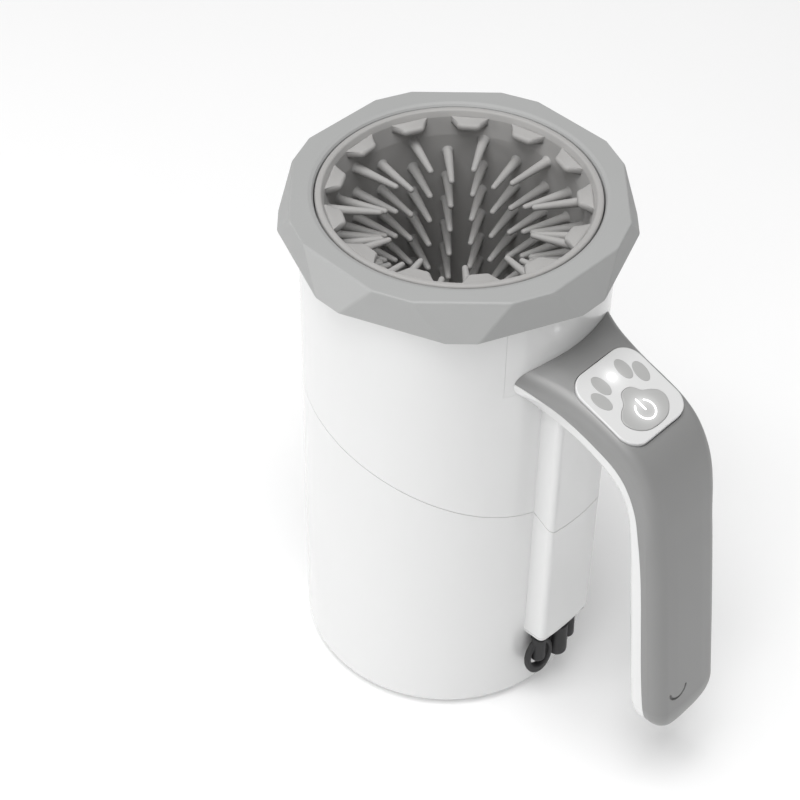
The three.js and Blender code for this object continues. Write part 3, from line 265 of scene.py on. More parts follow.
# Button panel, in its own frame: x down the slope, y across, z out of the surface.
PANEL_PLACE = Matrix.Translation((76.6, 0, 163.1)) @ Matrix.Rotation(math.radians(19.3), 4, "Y")
PANEL_LENGTH = 30.9
PANEL_WIDTH = 30.3
PANEL_CORNER = 7.3
PANEL_THICKNESS = 2
PANEL_PROUD = 0.3
PANEL_GAP = 0.25
TOE_LENGTH = 8.1
TOE_WIDTH = 4.9
TOES = [(-4, -10.1, 12), (-8.2, -5.7, 5), (-8.2, 5.7, -5), (-4, 10.1, -12)]
LENS_X = -8.5
LENS_RADIUS = 1.6
PAD_PROUD = 0.6
# Half of the paw pad's outline: corners of a smooth curve from the heart-shaped top round to the heel.
PAD_HALF = [
    (-2.6, 0), (-1.8, 2.6), (1.1, 4.7), (2.8, 7.6), (4.8, 9.7), (7.4, 10.1), (10.4, 8.4), (12.8, 4.8),
    (13.4, 0),
]
SYMBOL_X = 6.9
SYMBOL_RADIUS = 3.6
HALO_REACH = 1.4
SYMBOL_STROKE = 0.59
SYMBOL_GAP_ANGLE = 38
SYMBOL_BAR_PROUD = 0.9
SYMBOL_DEPTH = 0.45
SMILE_RADIUS = 4.2
SMILE_HALF_ANGLE = 78
SMILE_STROKE = 0.55
SMILE_DEPTH = 0.95
SMILE_PLACE = (116.05, -6.6, 51.4)
GRIP_LEAN = 7.5

# Rubber cover of the charging socket: knobs are x, y, radius and lowest point.
JACK_X, JACK_Y = 56, -3
STRAP_BACK, STRAP_FRONT = 53.9, 59
STRAP_THICKNESS = 2.4
STRAP_END_Y = -12.6
HINGE_GAP = 0.12
PEG_RADIUS = 1.3
PEG_INSET = 1.9
PLUG_RADIUS = 1.4
PLUG_HEIGHT = 2.6
KNOB_ROUNDING = 0.62
KNOB_TAPER = 0.9
KNOBS = [(57, -11, 2.9, 21.8), (57.6, -0.3, 3.7, 17.4), (57, 6, 2.6, 21)]
LOOP_PLACE = (55.4, -10.3, 23.4)
LOOP_HALF_WIDTH = 6
LOOP_HALF_HEIGHT = 9.4
LOOP_BAND = 1.9
LOOP_END_BAND = 3.2
LOOP_EDGE = 1.1
LOOP_SIDES = 72
LOOP_HOLE_OFFSET = 0.9
LOOP_THICKNESS = 3
LOOP_TURN = -11

# Camera, in the part's frame.
CAMERA_PLACE = (0.3525, -0.4065, 0.6282)
CAMERA_AZIMUTH = 42.9
CAMERA_ELEVATION = 43.989
CAMERA_ROLL = 0.848
CAMERA_LENS = 93.234

# Stage. A light's place is how far right of the middle, above it and towards the camera it stands, as the
# camera sees it, then its width and height, all in metres, and its power in watts.
FLOOR_SIZE = 6
FLOOR_DARK, FLOOR_PALE = (0.79, 0.79, 0.79), (0.81, 0.81, 0.81)
FLOOR_GLOW = 0.16
WORLD_STRENGTH = 0.2
MIDDLE = (0.02, 0, 0.11)
LIGHTS = {
    "top_light": ((-0.2, 2.0, 0.3), 1.4, 1.4, 38),
    "high_light": ((-0.35, 1.5, 1.1), 0.8, 0.8, 6),
    "left_light": ((-0.92, 0.1, 0.28), 0.42, 0.7, 3.1),
    "front_light": ((0.3, 0.1, 1.05), 0.10, 0.8, 0.95),
}


# ---------------------------------------------------------------- outlines


def rounded(corners, steps=ARC_STEPS):
    """Closed outline through (x, y, radius) corners, each turned into an arc of that radius."""
    points = []
    for i, (x, y, radius) in enumerate(corners):
        here = np.array((x, y), float)
        if radius == 0:
            points.append(here)
            continue
        before = np.array(corners[i - 1][:2], float) - here
        after = np.array(corners[(i + 1) % len(corners)][:2], float) - here
        before /= np.linalg.norm(before)
        after /= np.linalg.norm(after)
        half = math.acos(max(-1, min(1, before @ after))) / 2
        middle = (before + after) / np.linalg.norm(before + after)
        centre = here + middle * radius / math.sin(half)
        start = here + before * radius / math.tan(half) - centre
        end = here + after * radius / math.tan(half) - centre
        turn = math.atan2(start[0] * end[1] - start[1] * end[0], start @ end)
        for step in range(steps + 1):
            angle = turn * step / steps
            c, s = math.cos(angle), math.sin(angle)
            points.append(centre + np.array((c * start[0] - s * start[1], s * start[0] + c * start[1])))
    return np.array(points)


def catmull(points, per, closed=True):
    """Smooth curve that passes through every point."""
    points = np.array(points, float)
    if closed:
        padded = np.vstack([points[-1:], points, points[:2]])
    else:
        padded = np.vstack([2 * points[:1] - points[1:2], points, 2 * points[-1:] - points[-2:-1]])
    rows = []
    for i in range(len(padded) - 3):
        a, b, c, d = padded[i : i + 4]
        for step in range(per):
            t = step / per
            rows.append(
                0.5 * (2 * b + (c - a) * t + (2 * a - 5 * b + 4 * c - d) * t**2
                       + (3 * b - a - 3 * c + d) * t**3)
            )
    if not closed:
        rows.append(points[-1])
    return np.array(rows)


def grown(outline, margin):
    """Outline moved outwards by a margin, measured along its normals. The outline runs anticlockwise."""
    along = np.roll(outline, -1, axis=0) - np.roll(outline, 1, axis=0)
    normal = np.stack([along[:, 1], -along[:, 0]], axis=1)
    normal /= np.linalg.norm(normal, axis=1)[:, None]
    return outline + margin * normal


def ellipse(x, y, half_length, half_width, turn=0, sides=SMALL_SIDES):
    angles = np.arange(sides) * 2 * math.pi / sides
    a, b = half_length * np.cos(angles), half_width * np.sin(angles)
    c, s = math.cos(math.radians(turn)), math.sin(math.radians(turn))
    return np.stack([x + c * a - s * b, y + s * a + c * b], axis=1)


def circle(radius, x=0, y=0, sides=SMALL_SIDES):
    return ellipse(x, y, radius, radius, 0, sides)


def rectangle(length, width, corner, steps=ARC_STEPS):
    x, y = length / 2, width / 2
    return rounded([(x, -y, corner), (x, y, corner), (-x, y, corner), (-x, -y, corner)], steps)


def stroke(line, width, steps=ARC_STEPS):
    """Outline of a line drawn with a round pen."""
    line = np.array(line, float)
    along = np.gradient(line, axis=0)
    along /= np.linalg.norm(along, axis=1)[:, None]
    side = np.stack([along[:, 1], -along[:, 0]], axis=1) * width / 2
    points = list(line + side)
    for end, sign in ((-1, 1), (0, -1)):
        across = side[end] * sign
        ahead = along[end] * sign * width / 2
        for step in range(1, steps):
            angle = math.pi * step / steps
            points.append(line[end] + math.cos(angle) * across + math.sin(angle) * ahead)
        if end == -1:
            points.extend((line - side)[::-1])
    return np.array(points)


# ---------------------------------------------------------------- solids


def solid(vertices, faces):
    """Mesh object from vertices in millimetres, with its faces pointing out."""
    mesh = bpy.data.meshes.new("solid")
    mesh.from_pydata([tuple(MM * c for c in v) for v in vertices], [], faces)
    work = bmesh.new()
    work.from_mesh(mesh)
    bmesh.ops.remove_doubles(work, verts=work.verts, dist=SAME_POINT)
    bmesh.ops.recalc_face_normals(work, faces=work.faces)
    work.to_mesh(mesh)
    work.free()
    made = bpy.data.objects.new("solid", mesh)
    bpy.context.scene.collection.objects.link(made)
    return made


def skin(rows):
    """Skin over a list of closed outlines with the same number of 3-D points, closed at both ends."""
    rows = [np.asarray(row, float) for row in rows]
    count = len(rows[0])
    faces = [tuple(range(count)), tuple((len(rows) - 1) * count + i for i in range(count))]
    for row in range(len(rows) - 1):
        base = row * count
        for i in range(count):
            j = (i + 1) % count
            faces.append((base + i, base + j, base + count + j, base + count + i))
    return solid(np.vstack(rows), faces)


def revolve(profile, sides=ROUND_SIDES, x=0, y=0):
    """Body of revolution about an upright axis from a closed (radius, height) profile."""
    vertices, rings = [], []
    for radius, height in profile:
        if radius < 1e-6:
            rings.append([len(vertices)] * sides)
            vertices.append((x, y, height))
            continue
        rings.append(list(range(len(vertices), len(vertices) + sides)))
        for i in range(sides):
            angle = 2 * math.pi * i / sides
            vertices.append((x + radius * math.cos(angle), y + radius * math.sin(angle), height))
    faces = []
    for ring, following in zip(rings, rings[1:] + rings[:1]):
        if ring[0] == ring[1] and following[0] == following[1]:
            continue
        for i in range(sides):
            j = (i + 1) % sides
            corners = [ring[i], ring[j], following[j], following[i]]
            faces.append(tuple(dict.fromkeys(corners)))
    return solid(vertices, faces)


def turned(corners, sides=ROUND_SIDES, x=0, y=0):
    """Body of revolution whose (radius, height, rounding) corners are rounded."""
    return revolve(rounded(corners), sides, x, y)


def disc(radius, low, high, edge=0.0, x=0, y=0, sides=ROUND_SIDES):
    return turned([(0, low, 0), (radius, low, edge), (radius, high, edge), (0, high, 0)], sides, x, y)


def drill(radius, low, high, x=0, y=0):
    """Upright cutter for a small round hole."""
    return disc(radius, low, high, 0, x, y, SMALL_SIDES)


def flat(outline, height):
    return np.column_stack([outline, np.full(len(outline), height)])


def prism(outline, low, high, low_edge=0.0, high_edge=0.0, steps=4):
    """Outline pushed up from low to high. A positive edge rounds it off and a negative one flares it."""
    rows = []
    if low_edge:
        for step in range(steps + 1):
            angle = math.pi / 2 * step / steps
            inset = low_edge * (1 - math.sin(angle))
            rows.append(flat(grown(outline, -inset), low + abs(low_edge) * (1 - math.cos(angle))))
    else:
        rows.append(flat(outline, low))
    if high_edge:
        for step in range(steps + 1):
            angle = math.pi / 2 * step / steps
            inset = high_edge * (1 - math.cos(angle))
            rows.append(flat(grown(outline, -inset), high - abs(high_edge) * (1 - math.sin(angle))))
    else:
        rows.append(flat(outline, high))
    return skin(rows)


def moved(piece, matrix):
    """Moves a solid by a matrix given in millimetres."""
    in_metres = matrix.copy()
    in_metres.translation = matrix.translation * MM
    piece.data.transform(in_metres)
    return piece


def turned_about_z(piece, degrees):
    return moved(piece, Matrix.Rotation(math.radians(degrees), 4, "Z"))


def combine(piece, other, operation):
    modifier = piece.modifiers.new("boolean", "BOOLEAN")
    modifier.operation = operation
    modifier.object = other
    modifier.solver = "MANIFOLD"
    graph = bpy.context.evaluated_depsgraph_get()
    made = bpy.data.meshes.new_from_object(piece.evaluated_get(graph))
    piece.modifiers.clear()
    piece.data = made
    bpy.data.objects.remove(other)
    if not len(made.polygons):
        raise RuntimeError("a boolean left nothing")
    return piece


def cut(piece, *others):
    for other in others:
        combine(piece, other, "DIFFERENCE")
    return piece


def add(piece, *others):
    for other in others:
        combine(piece, other, "UNION")
    return piece


def common(piece, other):
    return combine(piece, other, "INTERSECT")


def copied(piece):
    made = piece.copy()
    made.data = piece.data.copy()
    bpy.context.scene.collection.objects.link(made)
    return made


def together(pieces):
    """Several solids as one mesh, each kept whole."""
    work = bmesh.new()
    for piece in pieces:
        work.from_mesh(piece.data)
        bpy.data.objects.remove(piece)
    mesh = bpy.data.meshes.new("solid")
    work.to_mesh(mesh)
    work.free()
    made = bpy.data.objects.new("solid", mesh)
    bpy.context.scene.collection.objects.link(made)
    return made


def tidied(piece):
    """Joins points closer than WELD, and drops the slivers and loose crumbs that a boolean leaves.

    A crumb is a group of faces, joined by edges of exactly two faces, with less than CRUMB_AREA in all.
    """
    work = bmesh.new()
    work.from_mesh(piece.data)
    bmesh.ops.remove_doubles(work, verts=work.verts, dist=WELD)
    bmesh.ops.dissolve_degenerate(work, edges=work.edges, dist=WELD)
    left = set(work.faces)
    crumbs = []
    while left:
        island = [left.pop()]
        for face in island:
            for edge in face.edges:
                for near in edge.link_faces if len(edge.link_faces) == 2 else ():
                    if near in left:
                        left.remove(near)
                        island.append(near)
        if sum(face.calc_area() for face in island) < CRUMB_AREA:
            crumbs += island
    bmesh.ops.delete(work, geom=crumbs, context="FACES")
    work.to_mesh(piece.data)
    work.free()
    return piece


def shade(piece, angle=35, weighted=True):
    mesh = piece.data
    mesh.shade_smooth()
    mesh.set_sharp_from_angle(angle=math.radians(angle))
    if weighted:
        modifier = piece.modifiers.new("normals", "WEIGHTED_NORMAL")
        modifier.keep_sharp = True
    return piece


def stand_for(piece, node, angle=35, weighted=True, material=None):
    """Names a fine piece after the CAD node that it stands for, and gives it the node's body and slot."""
    piece.name = node + "_fine"
    piece.data.name = piece.name
    shade(tidied(piece), angle, weighted)
    piece.data.materials.clear()
    piece.data.materials.append(material or materials[slot_of[node]])
    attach(piece, frame["nodes"][node]["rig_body"])
    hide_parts(node)
    return piece


# ---------------------------------------------------------------- materials


class Nodes:
    """Small helper to build a material's node tree."""

    def __init__(self, name):
        self.material = bpy.data.materials.new(name)
        self.material.use_nodes = True
        self.tree = self.material.node_tree
        self.shader = self.tree.nodes["Principled BSDF"]
        self.coordinates = self.tree.nodes.new("ShaderNodeTexCoord").outputs["Object"]

    def node(self, kind, settings=None, **values):
        made = self.tree.nodes.new("ShaderNode" + kind)
        for key, value in (settings or {}).items():
            setattr(made, key, value)
        for key, value in values.items():
            socket = made.inputs[key.replace("_", " ")]
            if isinstance(value, bpy.types.NodeSocket):
                self.tree.links.new(value, socket)
            else:
                socket.default_value = value
        return made

    def link(self, output, name):
        self.tree.links.new(output, self.shader.inputs[name])

    def noise(self, scale, detail=2.0, roughness=0.5, vector=None):
        made = self.node("TexNoise", Scale=scale, Detail=detail, Roughness=roughness,
                         Vector=vector or self.coordinates)
        return made.outputs[0]

    def spread(self, value, low, high, start=0.2, stop=0.8):
        made = self.tree.nodes.new("ShaderNodeMapRange")
        self.tree.links.new(value, made.inputs[0])
        for i, number in enumerate((start, stop, low, high)):
            made.inputs[i + 1].default_value = number
        return made.outputs[0]

    def maths(self, operation, *values):
        made = self.tree.nodes.new("ShaderNodeMath")
        made.operation = operation
        for i, value in enumerate(values):
            if isinstance(value, bpy.types.NodeSocket):
                self.tree.links.new(value, made.inputs[i])
            else:
                made.inputs[i].default_value = value
        return made.outputs[0]

    def blend(self, share, first, second):
        made = self.tree.nodes.new("ShaderNodeMix")
        made.data_type = "RGBA"
        self.tree.links.new(share, made.inputs[0])
        for i, value in ((6, first), (7, second)):
            if isinstance(value, bpy.types.NodeSocket):
                self.tree.links.new(value, made.inputs[i])
            else:
                made.inputs[i].default_value = (*value, 1)
        return made.outputs[2]

    def distance(self, point):
        made = self.node("VectorMath", {"operation": "DISTANCE"})
        self.tree.links.new(self.coordinates, made.inputs[0])
        made.inputs[1].default_value = point
        return made.outputs["Value"]


def scaled(colour, factor):
    return tuple(c * factor for c in colour)


def plastic(name, colour, roughness, grain, grain_depth, variation, coat=0.0, coat_roughness=0.14,
            roughness_spread=0.06, specular=0.5):
    """Moulded plastic: a fine spark-eroded grain, faint flow marks in colour and uneven gloss."""
    n = Nodes(name)
    flow = n.noise(26, 3, 0.55)
    cloud = n.noise(9, 2, 0.5)
    mottled = n.blend(n.spread(flow, 0, 1), scaled(colour, 1 - variation), scaled(colour, 1 + variation))
    n.link(mottled, "Base Color")
    handled = n.spread(cloud, roughness - roughness_spread, roughness + roughness_spread)
    n.link(handled, "Roughness")
    fine = n.noise(grain, 2, 0.6)
    bump = n.node("Bump", Strength=0.5, Distance=grain_depth, Height=fine)
    n.link(bump.outputs[0], "Normal")
    n.shader.inputs["Specular IOR Level"].default_value = specular
    n.shader.inputs["Coat Weight"].default_value = coat
    n.shader.inputs["Coat Roughness"].default_value = coat_roughness
    return n


def silicone(name, colour):
    """Soft moulded silicone: matte, faintly translucent, with dust-like mottling and a light sheen."""
    n = plastic(name, colour, 0.62, 5200, 0.00003, 0.05, roughness_spread=0.08, specular=0.35)
    n.shader.inputs["Subsurface Weight"].default_value = 0.12
    n.shader.inputs["Subsurface Radius"].default_value = (0.0022, 0.002, 0.0018)
    n.shader.inputs["Subsurface Scale"].default_value = 1.0
    n.shader.inputs["Sheen Weight"].default_value = 0.12
    n.shader.inputs["Sheen Roughness"].default_value = 0.5
    return n


def metal(name, colour, roughness, along):
    """Turned or drawn metal: fine lines stretched along one axis, with uneven gloss."""
    n = Nodes(name)
    mapping = n.node("Mapping", Vector=n.coordinates, Scale=along)
    lines = n.noise(2600, 3, 0.7, mapping.outputs[0])
    cloud = n.noise(60, 2, 0.5)
    tint = n.blend(n.spread(lines, 0, 1), scaled(colour, 0.86), scaled(colour, 1.05))
    n.link(tint, "Base Color")
    n.link(n.spread(cloud, roughness - 0.07, roughness + 0.09), "Roughness")
    bump = n.node("Bump", Strength=0.4, Distance=0.00002, Height=lines)
    n.link(bump.outputs[0], "Normal")
    n.shader.inputs["Metallic"].default_value = 1.0
    return n


def circuit_board(name):
    """Solder-masked board: dark copper tracks under a glossy green mask."""
    n = Nodes(name)
    bricks = n.node("TexBrick", {"offset": 0.5}, Vector=n.coordinates, Scale=420.0, Mortar_Size=0.03)
    bricks.inputs["Color1"].default_value = (0.010, 0.110, 0.050, 1)
    bricks.inputs["Color2"].default_value = (0.014, 0.145, 0.066, 1)
    bricks.inputs["Mortar"].default_value = (0.030, 0.230, 0.100, 1)
    n.link(bricks.outputs["Color"], "Base Color")
    n.link(n.spread(n.noise(900), 0.22, 0.4), "Roughness")
    bump = n.node("Bump", Strength=0.3, Distance=0.00003, Height=bricks.outputs["Fac"])
    n.link(bump.outputs[0], "Normal")
    return n


def glow(n, strength):
    """Lights a material in white by a strength that varies over the surface."""
    n.shader.inputs["Emission Color"].default_value = (1, 1, 1, 1)
    n.link(strength, "Emission Strength")


def panel_point(x, y, z):
    return (PANEL_PLACE @ Vector((x, y, z))) * MM


def fading(n, away, reach, strength):
    """Light that fades with a distance, to about a third over the reach in millimetres."""
    return n.maths("MULTIPLY", n.maths("EXPONENT", n.maths("MULTIPLY", away, -1 / (reach * MM))), strength)


def button_material():
    """Grey key cap, lit from below round its symbol."""
    n = plastic("grey_key", PRINT_GREY, 0.42, 8000, 0.00001, 0.02)
    centre = panel_point(SYMBOL_X, 0, PAD_PROUD)
    away = n.maths("ABSOLUTE", n.maths("SUBTRACT", n.distance(centre), SYMBOL_RADIUS * MM))
    core_away = n.distance(panel_point(SYMBOL_X - 1.8, 0, PAD_PROUD))
    glow(n, n.maths("ADD", fading(n, away, 1.5, 0.22), fading(n, core_away, 2.6, 0.24)))
    return n.material


def halo_material(name, colour, roughness, variation, strength):
    """Printed or moulded plastic round the status light, which shines through it or onto it."""
    n = plastic(name, colour, roughness, 8000, 0.00001, variation)
    glow(n, fading(n, n.distance(panel_point(LENS_X, 0, PANEL_PROUD)), HALO_REACH, strength))
    return n.material


def light_material(name, roughness, low, high):
    """Clear light guide, lit from behind."""
    n = plastic(name, (0.92, 0.93, 0.94), roughness, 8000, 0.000005, 0.01)
    glow(n, n.spread(n.noise(300), low, high))
    return n.material


PRINT_GREY = (0.40, 0.40, 0.395)
# Plain plastics: colour, roughness, scale and depth of the grain, spread of colour, coat and its roughness.
PLASTICS = {
    "white_body": ((0.745, 0.747, 0.745), 0.36, 7000, 0.000004, 0.006, 0.9, 0.12),
    "white_tank": ((0.8, 0.8, 0.79), 0.38, 6000, 0.00001, 0.015),
    "grey_handle": ((0.245, 0.245, 0.243), 0.46, 8000, 0.000004, 0.02, 0.3, 0.3),
    "grey_rim": ((0.362, 0.365, 0.362), 0.52, 7000, 0.00001, 0.02),
    "grey_core": ((0.34, 0.34, 0.335), 0.5, 6500, 0.00001, 0.03),
    "rubber_black": ((0.014, 0.014, 0.015), 0.58, 4000, 0.00003, 0.08),
    "plastic_black": ((0.022, 0.022, 0.024), 0.42, 7000, 0.00001, 0.05),
    "wire_black": ((0.03, 0.03, 0.032), 0.5, 3000, 0.00002, 0.06),
}
# Metals: colour, roughness, and how the fine lines are stretched along x, y and z.
METALS = {
    "steel": ((0.56, 0.56, 0.57), 0.34, (1, 1, 0.06)),
    "brass": ((0.72, 0.50, 0.22), 0.3, (1, 1, 0.06)),
    "cell_wrap": ((0.28, 0.31, 0.36), 0.42, (0.2, 0.2, 1)),
}
materials = {
    "silicone": silicone("silicone", (0.37, 0.364, 0.357)).material,
    "white_panel": halo_material("white_panel", (0.66, 0.66, 0.658), 0.36, 0.015, 0.9),
    "grey_print": halo_material("grey_print", PRINT_GREY, 0.45, 0.02, 0.8),
    "grey_button": button_material(),
    "light_white": light_material("light_guide", 0.3, 0.85, 1.0),
    "board_green": circuit_board("board_green").material,
}
for slot, values in PLASTICS.items():
    materials[slot] = plastic(slot, *values).material
for slot, values in METALS.items():
    materials[slot] = metal(slot, *values).material


# ---------------------------------------------------------------- body


def below_seam(offset):
    """Everything under the parting surface, a wide horizontal cylinder."""
    blank = disc(SEAM_RADIUS + offset, -100, 100, sides=SEAM_SIDES)
    upright = Matrix.Translation((SEAM_X, 0, SEAM_Z)) @ Matrix.Rotation(math.pi / 2, 4, "X")
    return moved(blank, upright)


def channel_outline(inset):
    half = CHANNEL_HALF_WIDTH - inset
    corner = CHANNEL_CORNER - inset / 2
    edge = CHANNEL_FRONT - CHANNEL_CROWN - inset
    back = BODY_RADIUS - CHANNEL_ROOT
    crown = [(edge + CHANNEL_CROWN * (1 - (y / half) ** 2), y, 0) for y in CHANNEL_CROWN_POINTS]
    corners = [(back, -half, 0), (edge, -half, corner), *crown, (edge, half, corner), (back, half, 0)]
    return rounded(corners, 10)


def channel_block(inset, low, high, edge=0.0):
    return prism(channel_outline(inset), low, high, edge, 0.0, 5)


def body_blank():
    """Both shells before they are parted."""
    blank = turned([
        (0, 0, 0), (BODY_RADIUS, 0, FOOT_FILLET), (BODY_RADIUS, SHELL_TOP, SHELL_TOP_EDGE),
        (0, SHELL_TOP, 0),
    ])
    lip_top = CHANNEL_BOTTOM + CHANNEL_LIP
    lip_inset = CHANNEL_LIP_INSET
    add(blank, channel_block(0, lip_top + CHANNEL_GROOVE, CHANNEL_TOP, CHANNEL_EDGE))
    add(blank, channel_block(lip_inset + CHANNEL_GROOVE, CHANNEL_BOTTOM + CHANNEL_LIP_EDGE, CHANNEL_TOP))
    add(blank, channel_block(lip_inset, CHANNEL_BOTTOM, lip_top, CHANNEL_LIP_EDGE))
    cut(blank, disc(BODY_RADIUS - SHELL_WALL, FLANGE_TOP, SHELL_TOP + 1))
    cut(blank, disc(FOOT_OPENING, -1, FLANGE_TOP + 1))
    cut(blank, channel_block(CHANNEL_WALL, CHANNEL_BOTTOM + SHELL_WALL, CHANNEL_TOP + 1))
    return blank


def sector(outer, inner, low, high, half_angle, steps=48):
    angles = np.radians(np.linspace(-half_angle, half_angle, steps))
    arc = np.stack([np.cos(angles), np.sin(angles)], axis=1)
    return prism(np.vstack([outer * arc, inner * arc[::-1]]), low, high)


def screw_post():
    """Post of a base screw on the +X side, with its web to the wall and its hole."""
    near, far, half = BASE_SCREW_CIRCLE, BODY_RADIUS - 1, WEB_HALF_THICKNESS
    post = disc(POST_RADIUS, POST_LOW, POST_TOP, POST_EDGE, BASE_SCREW_CIRCLE, 0, SMALL_SIDES)
    add(post, prism(np.array([(near, -half), (far, -half), (far, half), (near, half)]), POST_LOW, POST_TOP))
    return cut(post, drill(SCREW_HOLE_RADIUS, 0, POST_TOP - 1, BASE_SCREW_CIRCLE))


def build_shells():
    blank = body_blank()
    jack_low, jack_high = extent("charging_jack")
    jack_y = (jack_low.y + jack_high.y) / 2
    upper = cut(copied(blank), below_seam(HAIRLINE / 2))
    window = sector(BODY_RADIUS + 1, BODY_RADIUS - SHELL_WALL - 1, PLATE_LOW, PLATE_HIGH, PLATE_HALF_ANGLE)
    cut(upper, window)
    lower = common(blank, below_seam(-HAIRLINE / 2))
    for radius, y in ((JACK_HOLE_RADIUS, jack_y), (PEG_HOLE_RADIUS, ANCHOR_END_Y - PEG_INSET)):
        cut(lower, drill(radius, CHANNEL_BOTTOM - 1, CHANNEL_BOTTOM + 4, JACK_X, y))
    for angle in BASE_SCREW_ANGLES:
        add(lower, turned_about_z(screw_post(), angle))
    stand_for(upper, "upper_shell")
    stand_for(lower, "lower_shell")
    plate = sector(BODY_RADIUS, BODY_RADIUS - SHELL_WALL, PLATE_LOW + PLATE_GAP, PLATE_HIGH - PLATE_GAP,
                   PLATE_HALF_ANGLE - math.degrees(PLATE_GAP / BODY_RADIUS))
    stand_for(plate, "handle_mount_plate")


def build_tank_and_base():
    hole, inner, outer = TANK_HOLE_RADIUS, TANK_OUTER - TANK_WALL, TANK_OUTER
    tank = turned([
        (hole, TANK_FLOOR_LOW, 0.2), (outer, TANK_FLOOR_LOW, 3), (outer, TANK_TOP, 0.7),
        (inner, TANK_TOP, 0.7), (inner, TANK_FLOOR_TOP, 4), (hole, TANK_FLOOR_TOP, 0.5),
    ])
    for angle in BOSS_ANGLES:
        boss = disc(BOSS_RADIUS, BOSS_LOW, TANK_FLOOR_LOW + 0.5, 0.2, BOSS_CIRCLE, 0, SMALL_SIDES)
        cut(boss, drill(SCREW_HOLE_RADIUS, BOSS_LOW - 1.3, TANK_FLOOR_LOW, BOSS_CIRCLE))
        add(tank, turned_about_z(boss, angle))
    stand_for(tank, "inner_tank")
    stand_for(turned(SEAL_PROFILE, SMALL_SIDES), "shaft_seal")
    opening, foot = PAD_RADIUS + GAP, FOOT_OPENING - GAP
    cover = turned([
        (0, COVER_RECESS, 0), (opening, COVER_RECESS, 0.3), (opening, COVER_LOW, 0.3),
        (foot, COVER_LOW, 0.5), (foot, COVER_TOP, 0.3), (0, COVER_TOP, 0),
    ])
    for angle in BASE_SCREW_ANGLES:
        for radius, top in ((SCREW_HOLE_RADIUS, COVER_TOP + 1), (SCREW_HEAD_RADIUS, SCREW_HEAD_TOP)):
            cut(cover, turned_about_z(drill(radius, 0, top, BASE_SCREW_CIRCLE), angle))
    stand_for(cover, "base_cover")
    edge = [(PAD_RADIUS, 0, 0.6), (PAD_RADIUS, PAD_TOP, 0.2)]
    pad = turned([(0, 0, 0), *PAD_GROOVE, *edge, (0, PAD_TOP, 0)])
    stand_for(pad, "base_pad")


# ---------------------------------------------------------------- rim ring


def rim_corners(radius, half_angle, height):
    corners = []
    for side in range(RIM_SIDES):
        for offset in (-half_angle, half_angle):
            angle = math.radians(RIM_TURN + side * 360 / RIM_SIDES + offset)
            corners.append((radius * math.cos(angle), radius * math.sin(angle), height))
    return corners


def build_rim():
    ring = skin([
        rim_corners(RIM_LOW_RADIUS, RIM_LOW_HALF_ANGLE, RIM_BOTTOM),
        rim_corners(RIM_TOP_RADIUS, RIM_TOP_HALF_ANGLE, TOTAL_HEIGHT),
    ])
    work = bmesh.new()
    work.from_mesh(ring.data)
    bmesh.ops.bevel(work, geom=list(work.edges), offset=RIM_EDGE * MM, segments=RIM_EDGE_STEPS, profile=0.5,
                    affect="EDGES", clamp_overlap=True)
    work.to_mesh(ring.data)
    work.free()
    edge, mouth, low, top = RIM_INNER_EDGE, RIM_OPENING, RIM_BOTTOM, TOTAL_HEIGHT
    cut(ring, turned([
        (0, low - 1, 0), (mouth + 1, low - 1, 0), (mouth, low + 0.6, 0.4), (mouth, top - edge, 0),
        (mouth + 0.12 * edge, top - 0.5 * edge, 0), (mouth + 0.38 * edge, top - 0.18 * edge, 0),
        (mouth + edge, top - 0.004, 0), (mouth + edge, top + 1, 0), (0, top + 1, 0),
    ]))
    inner, outer, top = GROOVE_INNER, BODY_RADIUS + GAP, RIM_GROOVE_TOP
    cut(ring, turned([(inner, low - 1, 0), (outer, low - 1, 0), (outer, top, 0.3), (inner, top, 0.3)]))
    stand_for(ring, "faceted_rim", angle=14)
    inner, outer = GROOVE_INNER + GAP, BODY_RADIUS
    low, top = SHELL_TOP + GAP, RIM_GROOVE_TOP - GAP
    gasket = turned([(inner, low, 0.3), (outer, low, 0.3), (outer, top, 0.3), (inner, top, 0.3)])
    stand_for(gasket, "rim_gasket")


# ---------------------------------------------------------------- brush insert


def pin_profile():
    """Half outline of a bristle: (distance from its foot, radius), with a flared foot and a round tip."""
    length = LINER_INNER - PIN_TIP_RADIUS
    points = [(reach, PIN_ROOT_THICKNESS + extra) for reach, extra in PIN_FLARE]
    straight, flare_end = length - PIN_TIP_THICKNESS, PIN_FLARE[-1][0]
    for share in (0.35, 0.7, 1.0):
        reach = flare_end + (straight - flare_end) * share
        points.append((reach, PIN_ROOT_THICKNESS + (PIN_TIP_THICKNESS - PIN_ROOT_THICKNESS) * share))
    for step in range(1, 6):
        angle = math.pi / 2 * step / 5
        points.append((straight + PIN_TIP_THICKNESS * math.sin(angle), PIN_TIP_THICKNESS * math.cos(angle)))
    return points


